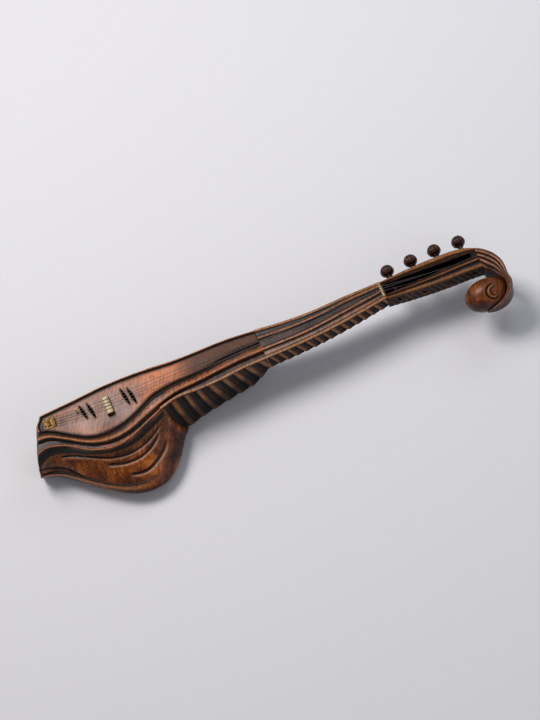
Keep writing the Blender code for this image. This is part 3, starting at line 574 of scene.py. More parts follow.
@dataclass(frozen=True)
class CarvedWood:
    """Hardwood cut with gouges, stained dark, worn back on its crests and waxed.

    The eye sees near-black stain and painted shade in the cuts, brown flats with orange patches of thinner
    stain, pale edges of wear and painted highlight, a painted lilac reflection where asked, and a soft sheen
    broken by pores and gouges.
    """

    name: str
    # Near-black of stain and painted shade in the cuts, also used for the pores.
    recess: str = "#080302"
    dark: str = "#220e06"
    mid: str = "#552708"
    warm: str = "#86460f"
    # Light colour of wear and painted highlight on the crests.
    rubbed_highlight: str = "#b07a50"
    patch_size: float = 55.0      # millimetres across one patch of thinner stain
    grain_width: float = 4.5      # millimetres; real pores are 0.3 mm, drawn coarser so that they show
    roughness: float = 0.42
    gouge: float = 0.25           # strength of the gouge marks
    painted_sheen_strength: float = 0.0             # how much painted lilac reflection of cool light lies on the wax
    painted_sheen: str = "#a58b86"        # lilac of a painted reflection of cool light on the wax
    shine: float = 0.30           # specular level: stain soaks up most of it
    wax: float = 0.10             # weight of the wax coat

    def make(self) -> bpy.types.Material:
        """Makes the material.

        Returns:
            The finished material.
        """
        material, tree, shader = blank_material(self.name)
        place = add_node(tree, "ShaderNodeTexCoord").outputs["Object"]
        turned = add_node(tree, "ShaderNodeMapping", inputs={
            "Vector": place, "Rotation": (0.0, 0.0, math.radians(GRAIN_TURN))}).outputs["Vector"]
        across = 1000 / self.grain_width
        fibre = add_node(tree, "ShaderNodeMapping", inputs={
            "Vector": turned, "Scale": (across / 14, across, across)}).outputs["Vector"]
        grain = add_node(tree, "ShaderNodeTexNoise", inputs={
            "Vector": fibre, "Scale": 1.0, "Detail": 4.0, "Roughness": 0.6}).outputs["Fac"]
        pore_map = add_node(tree, "ShaderNodeMapping", inputs={
            "Vector": turned, "Scale": (across / 3.5, across * 1.4, across * 1.4)}).outputs["Vector"]
        pore_noise = add_node(tree, "ShaderNodeTexNoise", inputs={
            "Vector": pore_map, "Scale": 1.0, "Detail": 2.0}).outputs["Fac"]
        pores = add_node(tree, "ShaderNodeValToRGB", inputs={"Fac": pore_noise},
                         stops=[(0.58, grey(0.0)), (0.68, grey(1.0))]).outputs["Color"]
        patches = add_node(tree, "ShaderNodeTexNoise", inputs={
            "Vector": turned, "Scale": 1000 / self.patch_size, "Detail": 5.0, "Roughness": 0.55,
            "Distortion": 0.6}).outputs["Fac"]
        base = add_node(tree, "ShaderNodeValToRGB", inputs={"Fac": patches}, stops=[
            (0.34, linear(self.dark)), (0.66, linear(self.warm)),
            (0.48, linear(self.mid))]).outputs["Color"]
        streak = add_node(tree, "ShaderNodeValToRGB", inputs={"Fac": grain}, stops=[
            (0.36, grey(0.30)), (0.64, grey(1.55))]).outputs["Color"]
        grained = add_node(tree, "ShaderNodeMix", {"data_type": "RGBA", "blend_type": "MULTIPLY"},
                           {0: 0.85, 6: base, 7: streak}).outputs[2]
        # The two attributes hold stain with painted shade, and wear with painted highlight.
        stain_and_shade = add_node(tree, "ShaderNodeAttribute", {"attribute_name": "stain_and_shade"}).outputs["Fac"]
        wear_and_highlight = add_node(tree, "ShaderNodeAttribute", {"attribute_name": "wear_and_highlight"}).outputs["Fac"]
        # Wear and painted highlight: lighter towards the rubbed colour, broken by the grain.
        rub_and_highlight = add_node(tree, "ShaderNodeMath", {"operation": "MULTIPLY"}, {0: wear_and_highlight, 1: grain}).outputs[0]
        rub_and_highlight = add_node(tree, "ShaderNodeMath", {"operation": "MULTIPLY", "use_clamp": True},
                       {0: rub_and_highlight, 1: 1.5}).outputs[0]
        worn_and_lit = add_node(tree, "ShaderNodeMix", {"data_type": "RGBA"},
                        {0: rub_and_highlight, 6: grained, 7: linear(self.rubbed_highlight)}).outputs[2]
        speckled = add_node(tree, "ShaderNodeMath", {"operation": "MULTIPLY"}, {0: pores, 1: 0.7}).outputs[0]
        dotted = add_node(tree, "ShaderNodeMix", {"data_type": "RGBA"},
                          {0: speckled, 6: worn_and_lit, 7: linear(self.recess)}).outputs[2]
        # Stain and painted shade: darker towards the recess colour.
        uneven = add_node(tree, "ShaderNodeMapRange", inputs={
            "Value": grain, "From Min": 0.3, "From Max": 0.7, "To Min": 0.9,
            "To Max": 1.25}).outputs["Result"]
        stain_and_shade_mix = add_node(tree, "ShaderNodeMath", {"operation": "MULTIPLY", "use_clamp": True},
                           {0: stain_and_shade, 1: uneven}).outputs[0]
        final = add_node(tree, "ShaderNodeMix", {"data_type": "RGBA"},
                         {0: stain_and_shade_mix, 6: dotted, 7: linear(self.recess)}).outputs[2]
        # Painted lilac reflection of cool light on the wax, in patches kept off the cuts and the crests.
        if self.painted_sheen_strength:
            painted_sheen_noise = add_node(tree, "ShaderNodeTexNoise", inputs={
                "Vector": place, "Scale": 9.0, "Detail": 3.0, "Roughness": 0.6}).outputs["Fac"]
            painted_sheen = add_node(tree, "ShaderNodeMapRange", inputs={
                "Value": painted_sheen_noise, "From Min": 0.42, "From Max": 0.66, "To Min": 0.0,
                "To Max": self.painted_sheen_strength}).outputs["Result"]
            for mark in (wear_and_highlight, stain_and_shade):
                bare = add_node(tree, "ShaderNodeMath", {"operation": "SUBTRACT", "use_clamp": True},
                                {0: 1.0, 1: mark}).outputs[0]
                painted_sheen = add_node(tree, "ShaderNodeMath", {"operation": "MULTIPLY", "use_clamp": True},
                                 {0: painted_sheen, 1: bare}).outputs[0]
            final = add_node(tree, "ShaderNodeMix", {"data_type": "RGBA"},
                             {0: painted_sheen, 6: final, 7: linear(self.painted_sheen)}).outputs[2]
        tree.links.new(final, shader.inputs["Base Color"])

        gouges = add_node(tree, "ShaderNodeTexVoronoi", {"feature": "SMOOTH_F1"}, {
            "Vector": turned, "Scale": 1000 / 9.0, "Smoothness": 0.8}).outputs["Distance"]
        low = add_node(tree, "ShaderNodeBump", inputs={
            "Strength": self.gouge, "Distance": 0.0016, "Height": gouges}).outputs["Normal"]
        fine = add_node(tree, "ShaderNodeBump", inputs={
            "Strength": 0.35, "Distance": 0.0008, "Height": grain, "Normal": low}).outputs["Normal"]
        pitted = add_node(tree, "ShaderNodeBump", {"invert": True}, {
            "Strength": 0.4, "Distance": 0.0004, "Height": pores, "Normal": fine}).outputs["Normal"]
        tree.links.new(pitted, shader.inputs["Normal"])
        rough = add_node(tree, "ShaderNodeMapRange", inputs={
            "Value": patches, "From Min": 0.3, "From Max": 0.7, "To Min": self.roughness + 0.08,
            "To Max": self.roughness - 0.06}).outputs["Result"]
        rough = add_node(tree, "ShaderNodeMath", {"operation": "MULTIPLY_ADD", "use_clamp": True},
                         {0: stain_and_shade, 1: 0.25, 2: rough}).outputs[0]
        tree.links.new(rough, shader.inputs["Roughness"])
        shader.inputs["IOR"].default_value = 1.46
        shader.inputs["Specular IOR Level"].default_value = self.shine
        shader.inputs["Coat Weight"].default_value = self.wax
        shader.inputs["Coat Roughness"].default_value = 0.25
        return material


@dataclass(frozen=True)
class SawnWood:
    """Plain hardwood left as it came from the saw: pale, matt and lightly ridged."""

    name: str = "sawn_jackfruit_wood"
    pale: str = "#a67c4e"
    brown: str = "#7d5530"
    ring_width: float = 8.0       # millimetres from one growth ring to the next

    def make(self) -> bpy.types.Material:
        """Makes the material.

        Returns:
            The finished material.
        """
        material, tree, shader = blank_material(self.name)
        place = add_node(tree, "ShaderNodeTexCoord").outputs["Object"]
        rings = add_node(tree, "ShaderNodeTexWave", {"bands_direction": "Y"}, {
            "Vector": place, "Scale": 2 * math.pi * 1000 / self.ring_width / 20, "Distortion": 3.0,
            "Detail": 3.0}).outputs["Fac"]
        colour = add_node(tree, "ShaderNodeValToRGB", inputs={"Fac": rings}, stops=[
            (0.2, linear(self.pale)), (0.9, linear(self.brown))]).outputs["Color"]
        bump = add_node(tree, "ShaderNodeBump", inputs={
            "Strength": 0.3, "Distance": 0.0004, "Height": rings}).outputs["Normal"]
        tree.links.new(colour, shader.inputs["Base Color"])
        tree.links.new(bump, shader.inputs["Normal"])
        shader.inputs["Roughness"].default_value = 0.75
        return material


@dataclass(frozen=True)
class FiledBone:
    """Camel bone filed to shape and polished: cream, with short brown pores and a low gloss."""

    name: str = "filed_camel_bone"
    cream: str = "#b8a277"
    aged: str = "#8a6c44"
    pore: str = "#5e452a"

    def make(self) -> bpy.types.Material:
        """Makes the material; pores 0.3 mm wide are drawn 0.8 mm wide so that they show.

        Returns:
            The finished material.
        """
        material, tree, shader = blank_material(self.name)
        place = add_node(tree, "ShaderNodeTexCoord").outputs["Object"]
        cloud = add_node(tree, "ShaderNodeTexNoise", inputs={
            "Vector": place, "Scale": 1000 / 9.0, "Detail": 4.0}).outputs["Fac"]
        colour = add_node(tree, "ShaderNodeValToRGB", inputs={"Fac": cloud}, stops=[
            (0.35, linear(self.cream)), (0.70, linear(self.aged))]).outputs["Color"]
        stretched = add_node(tree, "ShaderNodeMapping", inputs={
            "Vector": place, "Scale": (1250.0, 300.0, 1250.0)}).outputs["Vector"]
        pores = add_node(tree, "ShaderNodeTexNoise", inputs={
            "Vector": stretched, "Scale": 1.0, "Detail": 1.0}).outputs["Fac"]
        flecks = add_node(tree, "ShaderNodeMapRange", inputs={
            "Value": pores, "From Min": 0.64, "From Max": 0.72, "To Min": 0.0,
            "To Max": 0.7}).outputs["Result"]
        final = add_node(tree, "ShaderNodeMix", {"data_type": "RGBA"},
                         {0: flecks, 6: colour, 7: linear(self.pore)}).outputs[2]
        bump = add_node(tree, "ShaderNodeBump", {"invert": True}, {
            "Strength": 0.2, "Distance": 0.0002, "Height": flecks}).outputs["Normal"]
        tree.links.new(final, shader.inputs["Base Color"])
        tree.links.new(bump, shader.inputs["Normal"])
        shader.inputs["Roughness"].default_value = 0.38
        shader.inputs["IOR"].default_value = 1.54
        return material


@dataclass(frozen=True)
class WorkedMetal:
    """Metal drawn, rolled or filed, with fine scratches and dull spots where hands leave it."""

    name: str
    bright: str
    dull: str
    roughness: float
    spot_size: float = 6.0        # millimetres across one dull spot
    scratch: float = 0.5          # millimetres between scratches

    def make(self) -> bpy.types.Material:
        """Makes the material.

        Returns:
            The finished material.
        """
        material, tree, shader = blank_material(self.name)
        place = add_node(tree, "ShaderNodeTexCoord").outputs["Object"]
        spots = add_node(tree, "ShaderNodeTexNoise", inputs={
            "Vector": place, "Scale": 1000 / self.spot_size, "Detail": 5.0, "Roughness": 0.65}).outputs["Fac"]
        colour = add_node(tree, "ShaderNodeValToRGB", inputs={"Fac": spots}, stops=[
            (0.40, linear(self.bright)), (0.68, linear(self.dull))]).outputs["Color"]
        brushed = add_node(tree, "ShaderNodeMapping", inputs={
            "Vector": place, "Scale": (60.0, 1000 / self.scratch, 1000 / self.scratch)}).outputs["Vector"]
        lines = add_node(tree, "ShaderNodeTexNoise", inputs={
            "Vector": brushed, "Scale": 1.0, "Detail": 2.0}).outputs["Fac"]
        bump = add_node(tree, "ShaderNodeBump", inputs={
            "Strength": 0.12, "Distance": 0.0001, "Height": lines}).outputs["Normal"]
        rough = add_node(tree, "ShaderNodeMapRange", inputs={
            "Value": spots, "From Min": 0.35, "From Max": 0.7, "To Min": self.roughness,
            "To Max": self.roughness + 0.22}).outputs["Result"]
        tree.links.new(colour, shader.inputs["Base Color"])
        tree.links.new(bump, shader.inputs["Normal"])
        tree.links.new(rough, shader.inputs["Roughness"])
        shader.inputs["Metallic"].default_value = 1.0
        return material


class Finish(Enum):
    """The finishes of the instrument, by what each one is."""

    # Bowl and boss: reddish brown with orange where hands thinned the stain.
    BODY = CarvedWood("hand_carved_stained_rosewood", dark="#2a1208", mid="#63300c", warm="#a0571a",
                      roughness=0.36, shine=0.34, gouge=0.32)
    # Edge strips and rails: dark valleys of stain and painted shade under narrow tan crests of wear and
    # painted highlight.
    EDGE = CarvedWood("hand_carved_rubbed_edging", dark="#241006", mid="#4e2410", warm="#7e3f18",
                      rubbed_highlight="#b87a4e", roughness=0.32, patch_size=35.0, shine=0.36)
    # Side strips and pegbox: nearly black, which is partly painted shade, with brown only on the tips of the
    # lobes.
    LOBES = CarvedWood("hand_carved_dark_lobes", recess="#040201", dark="#140803", mid="#301608",
                       warm="#542a11", rubbed_highlight="#a8703f", roughness=0.40, patch_size=30.0, shine=0.22,
                       wax=0.05)
    # Soundboard: worn flat, with a painted lilac reflection of cool light by the bridge and orange where the
    # hand rubs.
    BOARD = CarvedWood("planed_worn_soundboard", recess="#100704", dark="#4a2c20", mid="#835640",
                       warm="#a46c48", rubbed_highlight="#c86d2b", patch_size=110.0, grain_width=4.0,
                       roughness=0.38, gouge=0.16, painted_sheen_strength=0.82, shine=0.28, wax=0.06)
    # Pegs and bridge foot: even dark brown with a lathe's smooth gloss.
    PEG = CarvedWood("turned_waxed_dark_rosewood", dark="#140804", mid="#2e1307", warm="#4a200d",
                     rubbed_highlight="#6c3a1d", roughness=0.30, gouge=0.05, patch_size=25.0)
    # Braces, tail block and tenon: pale bare wood inside.
    SAWN = SawnWood()
    # Nut, bridge top and bead: aged cream.
    BONE = FiledBone()
    # Tailpiece and screws: dull yellow-brown, with darker spots.
    BRASS = WorkedMetal("filed_aged_brass", "#6e5630", "#33251a", 0.44)
    # Strings and windings: grey wire with a soft gleam.
    STEEL = WorkedMetal("drawn_steel_wire", "#9a9a98", "#6a6664", 0.28, spot_size=12.0)

    def material(self) -> bpy.types.Material:
        """The finish's material, made the first time it is asked for."""
        return bpy.data.materials.get(self.value.name) or self.value.make()


def dress(obj: bpy.types.Object, finish: Finish, replaces: tuple[str, ...] = (),
          body: str = ROOT_BODY) -> None:
    """Gives a new piece its finish, body and material slot.

    Args:
        obj: the piece.
        finish: its finish.
        replaces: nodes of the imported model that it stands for.
        body: the body that it rides on.
    """
    obj.data.materials.clear()
    obj.data.materials.append(finish.material())
    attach(obj, body)
    if replaces:
        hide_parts(*replaces)
    LOG.info("%s: %d faces, %s", obj.name, len(obj.data.polygons), finish.value.name)


def redress(node: str, finish: Finish) -> None:
    """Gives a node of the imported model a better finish."""
    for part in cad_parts[node].material_slots:
        part.material = finish.material()
    LOG.info("%s: kept, %s", node, finish.value.name)


# ---- sub-assemblies ------------------------------------------------------------------------------

@dataclass
class Bowl:
    """The hollow bowl, with the carver's grooves down its bulging side."""

    wall: float = 0.015
    tuck: float = 0.028           # how far the back draws in below the girth
    tail_belly: float = 0.006
    land: float = 0.010           # the rim that the soundboard lies on
    along: int = 190
    side_steps: int = 84
    grooves: tuple[Groove, ...] = (
        Groove(Line((-30, -103), (17, -116), (58, -113), (90, -96), (102, -86), unit=1),
               -34, 106, 0.0052, 2.8),
        Groove(Line((11, -144), (49, -149), (78, -137), (101, -120), (111, -108), unit=1),
               6, 116, 0.0056, 3.0, 1.0),
        Groove(Line((-181, -65), (-169, -47), (-153, -35), (-129, -31), (-101, -38), (-46, -65), (3, -79),
                    (49, -78), (85, -67), (122, -52), unit=1), -200, 135, 0.0030, 3.2, 0.5),
        Groove(Line((-164, -43), (-104, -50), (-64, -68), (-13, -92), (36, -99), (87, -85), (112, -70),
                    unit=1), -125, 116, 0.0040, 2.4, 0.7),
        Groove(Line((-169, -55), (-147, -60), (-112, -81), (-94, -104), (-51, -141), (-11, -166), (23, -176),
                    (51, -172), unit=1), -190, 66, 0.0026, 2.4, 0.0),
    )

    def ring(self, lower: Curve, upper: Curve, z: float, tail_inset: float = 0.0,
             joint_inset: float = 0.0) -> np.ndarray:
        """One closed ring of the bowl: bulging side, joint, straight side, tail.

        Args:
            lower: plan curve of the bulging side.
            upper: plan curve of the straight side.
            z: height of the ring.
            tail_inset: distance kept from the tail's plane.
            joint_inset: distance kept from the joint's plane.

        Returns:
            The ring's points.
        """
        end = float(Plan.joint_x(z)) - joint_inset
        near = Plan.run(lower, z, end, self.along, tail_inset)
        far = Plan.run(upper, z, end, self.along, tail_inset)
        t = np.linspace(0, 1, 12)[1:-1, None]
        joint = near[-1] + (far[-1] - near[-1]) * t
        t = np.linspace(0, 1, 34)[1:-1, None]
        tail = far[0] + (near[0] - far[0]) * t - np.array([self.tail_belly, 0, 0]) * 4 * t * (1 - t)
        return np.concatenate([near, joint, far[::-1], tail])

    def build(self) -> Relief:
        """Lofts the bowl from the cavity's floor, over the rim and down the outer side.

        Returns:
            The carved skin.
        """
        wall, land = self.wall, self.land
        rim = FACE - BOARD_THICKNESS - GAP

        def inner_low(x: np.ndarray) -> np.ndarray:
            """The rim's inner edge on the bulging side."""
            return Plan.board(x) + land

        def inner_high(x: np.ndarray) -> np.ndarray:
            """The rim's inner edge on the straight side."""
            return Plan.board_far(x) - land

        def board_line(x: np.ndarray) -> np.ndarray:
            """The soundboard's side with its glue line."""
            return Plan.board(x) + 2 * GAP

        rings = [
            self.ring(lambda x: Plan.lower_side(x, 1, self.tuck),
                      lambda x: Plan.upper_side(x, 1, self.tuck * 0.7), wall, wall + 0.004, wall + 0.010),
            self.ring(lambda x: Plan.lower_side(x, 1, wall), lambda x: Plan.upper_side(x, 1, wall),
                      float(Plan.side_height(0.86)), wall, wall + 0.004),
            self.ring(lambda x: Plan.lower_side(x, 0.5, wall), lambda x: Plan.upper_side(x, 0.75, wall),
                      float(Plan.side_height(0.4)), wall, wall),
            self.ring(lambda x: Plan.lower_side(x, 0.1, wall), lambda x: Plan.upper_side(x, 0.35, wall),
                      float(Plan.side_height(0.02)), wall, wall),
            self.ring(inner_low, inner_high, float(Plan.side_height(0)) + 0.010, UPPER_LAND + land, wall),
            self.ring(inner_low, inner_high, rim, UPPER_LAND + land, wall),
            self.ring(board_line, Plan.board_far, rim - 0.0001, UPPER_LAND),
            self.ring(board_line, Plan.board_far, LEDGE, UPPER_LAND),
            self.ring(Plan.binding_outer, lambda x: Plan.upper_side(x, 0.0275), LEDGE - 0.001),
            self.ring(Plan.binding_outer, lambda x: Plan.upper_side(x, 0.12), FACE - 0.0155),
        ]
        outside = len(rings)
        for share in np.linspace(0, 1, self.side_steps):
            far = float(np.interp(share, (0, 0.25, 0.5, 0.645, 0.86, 1), (0.25, 0.45, 0.65, 0.8, 0.95, 1)))
            rings.append(self.ring(lambda x, s=share: Plan.lower_side(x, s),
                                   lambda x, s=far: Plan.upper_side(x, s), float(Plan.side_height(share))))
        for inset in np.linspace(0, 1, 13)[1:]:
            rings.append(self.ring(lambda x, i=inset: Plan.lower_side(x, 1, self.tuck * i),
                                   lambda x, i=inset: Plan.upper_side(x, 1, self.tuck * 0.7 * i),
                                   Plan.girth_height * (1 - inset) ** 2.6))
        relief = Relief(rings)
        where = np.zeros(relief.stain_and_shade.shape)
        where[outside:, :self.along] = 1
        for groove in self.grooves:
            groove.cut(relief, where)
        u, v = relief.view_plane()
        height = relief.points[..., 2]
        # Painted shade: the outside darker towards the bottom.
        under = ease((0.034 - height) / 0.030) * 0.75
        # Painted shade in the hollow: the inner surfaces darker.
        inside = np.zeros(relief.stain_and_shade.shape)
        inside[:outside] = 0.8
        # Painted shadow on the lower right of the bulb.
        right = 0.72 * ease((u - 104) / 34) * ease((-84 - v) / 34)
        outer = np.arange(len(rings))[:, None] >= outside
        relief.mark(stain_and_shade=np.maximum(np.maximum(under, right) * outer, inside))
        return relief

    def dress(self) -> None:
        """Builds the bowl and finishes it."""
        dress(self.build().build("carved_bowl", 50), Finish.BODY, ("bowl",))


@dataclass
class Soundboard:
    """The thin wooden face with its four leaf-shaped slits and two screw holes."""

    slits: tuple[tuple[tuple[float, float], tuple[float, float]], ...] = (
        ((-0.036, 0.047), (-0.028, 0.009)), ((-0.018, 0.045), (-0.010, 0.004)),
        ((0.063, 0.044), (0.071, -0.001)), ((0.078, 0.039), (0.086, -0.005)))
    slit_width: float = 0.0062
    screw_places: tuple[tuple[float, float], ...] = ((-0.112, 0.033), (-0.112, 0.041))
    screw_bore: float = 0.0020
    pitch: float = 0.0032

    def leaf(self, start: tuple[float, float], end: tuple[float, float]) -> np.ndarray:
        """A slit's outline, pointed at both ends and fullest in the middle.

        Args:
            start: one end in plan.
            end: the other end.

        Returns:
            A closed outline.
        """
        a, b = np.array(start), np.array(end)
        along = (b - a) / np.linalg.norm(b - a)
        side = np.array([-along[1], along[0]])
        t = np.linspace(0, 1, 19)[:, None]
        bulge = self.slit_width / 2 * np.sin(math.pi * t) * side
        middle = a + (b - a) * t
        return np.concatenate([middle + bulge, (middle - bulge)[1:-1][::-1]])

    def outlines(self) -> list[np.ndarray]:
        """The board's edge, then its holes.

        Returns:
            Closed outlines in plan.
        """
        end = HEEL_END - GAP
        near = Plan.run(Plan.board, FACE, end, 150, UPPER_LAND)[:, :2]
        far = Plan.run(Plan.board_far, FACE, end, 150, UPPER_LAND)[:, :2]
        turn = np.linspace(0, 2 * math.pi, 16, endpoint=False)
        rings = [np.array(place) + self.screw_bore * np.stack([np.cos(turn), np.sin(turn)], axis=1)
                 for place in self.screw_places]
        return [np.concatenate([near, far[::-1]])] + [self.leaf(*slit) for slit in self.slits] + rings

    @staticmethod
    def distance(points: np.ndarray, outline: np.ndarray) -> np.ndarray:
        """Distance of points from an outline.

        Args:
            points: places in plan.
            outline: a closed outline.

        Returns:
            Each point's distance.
        """
        nearest = np.full(len(points), 1.0)
        for a, d in zip(outline, np.roll(outline, -1, axis=0) - outline):
            t = np.clip(((points - a) @ d) / max(d @ d, 1e-12), 0, 1)
            nearest = np.minimum(nearest, np.linalg.norm(points - a - t[:, None] * d, axis=1))
        return nearest

    @staticmethod
    def inside(points: np.ndarray, outline: np.ndarray) -> np.ndarray:
        """Whether points lie inside an outline.

        Args:
            points: places in plan.
            outline: a closed outline.

        Returns:
            True for each point inside.
        """
        found = np.zeros(len(points), dtype=bool)
        x, y = points.T
        for (ax, ay), (bx, by) in zip(outline, np.roll(outline, -1, axis=0)):
            if ay == by:
                continue
            crosses = (ay > y) != (by > y)
            found ^= crosses & (x < (bx - ax) * (y - ay) / (by - ay) + ax)
        return found

    def build(self) -> bpy.types.Object:
        """Cuts the board out of a fine sheet and eases its edges.

        Returns:
            The board.
        """
        outlines = self.outlines()
        low, high = outlines[0].min(axis=0), outlines[0].max(axis=0)
        grid = np.stack(np.meshgrid(np.arange(low[0], high[0], self.pitch),
                                    np.arange(low[1], high[1], self.pitch)), axis=-1).reshape(-1, 2)
        keep = self.inside(grid, outlines[0])
        for outline in outlines:
            keep &= self.distance(grid, outline) > self.pitch * 0.35
        for hole in outlines[1:]:
            keep &= ~self.inside(grid, hole)
        for hole in outlines[1:]:
            for reach in (0.0006, 0.0014):
                middle = hole.mean(axis=0)
                away = hole - middle
                outward = away / np.linalg.norm(away, axis=1, keepdims=True)
                grid = np.concatenate([grid, hole + outward * reach])
                keep = np.concatenate([keep, np.ones(len(hole), dtype=bool)])
        points = [Vector(p) for p in grid[keep].tolist()]
        edges = []
        for outline in outlines:
            first = len(points)
            points += [Vector(p) for p in outline.tolist()]
            edges += [(first + i, first + (i + 1) % len(outline)) for i in range(len(outline))]
        verts, _, faces, *_ = delaunay_2d_cdt(points, edges, [], 0, 1e-7)
        flat = np.array([tuple(v) for v in verts])
        middles = np.array([flat[face].mean(axis=0) for face in faces])
        kept = self.inside(middles, outlines[0])
        for hole in outlines[1:]:
            kept &= ~self.inside(middles, hole)
        faces = [face for face, good in zip(faces, kept) if good]
        rim = self.distance(flat, outlines[0])
        holes = np.min([self.distance(flat, hole) for hole in outlines[1:]], axis=0)
        drop = 0.0007 * hump(np.minimum(rim, holes), 0.0011)
        height = FACE - drop
        along = flat[:, 0]
        # Painted shade along the board's edge and round the slits and screw holes.
        stain_and_shade = np.maximum(0.95 * hump(rim, 0.0042), 1.0 * hump(holes, 0.0016))
        # Darker towards both ends.
        stain_and_shade = np.maximum(stain_and_shade, 0.74 * ease((along - 0.170) / 0.07) + 0.46 * ease((-0.05 - along) / 0.10))
        orange = ease((along - 0.055) / 0.09) * (1 - 0.35 * ease((along - 0.175) / 0.07))
        wear_and_highlight = 0.35 * hump(rim - 0.010, 0.006) + 0.95 * orange
        count = len(flat)
        points3 = np.concatenate([np.column_stack([flat, height]),
                                  np.column_stack([flat, np.full(count, FACE - BOARD_THICKNESS)])])
        walls = self.walls(faces, count)
        all_faces = faces + [[i + count for i in face[::-1]] for face in faces] + walls
        obj = mesh_object("worn_soundboard", points3, all_faces, np.tile(stain_and_shade, 2), np.tile(wear_and_highlight, 2))
        used = bmesh.new()
        used.from_mesh(obj.data)
        bmesh.ops.delete(used, geom=[v for v in used.verts if not v.link_faces], context="VERTS")
        used.to_mesh(obj.data)
        used.free()
        return finish_mesh(obj, 55)

    @staticmethod
    def walls(faces: list[list[int]], count: int) -> list[list[int]]:
        """Joins the top sheet's open edges to the bottom sheet's.

        Args:
            faces: the top sheet's faces.
            count: number of points in one sheet.

        Returns:
            The faces between the sheets.
        """
        seen = {(a, b): True for face in faces for a, b in zip(face, list(face[1:]) + [face[0]])}
        return [[b, a, a + count, b + count] for a, b in seen if (b, a) not in seen]

    def dress(self) -> None:
        """Builds the soundboard and finishes it."""
        dress(self.build(), Finish.BOARD, ("soundboard",))


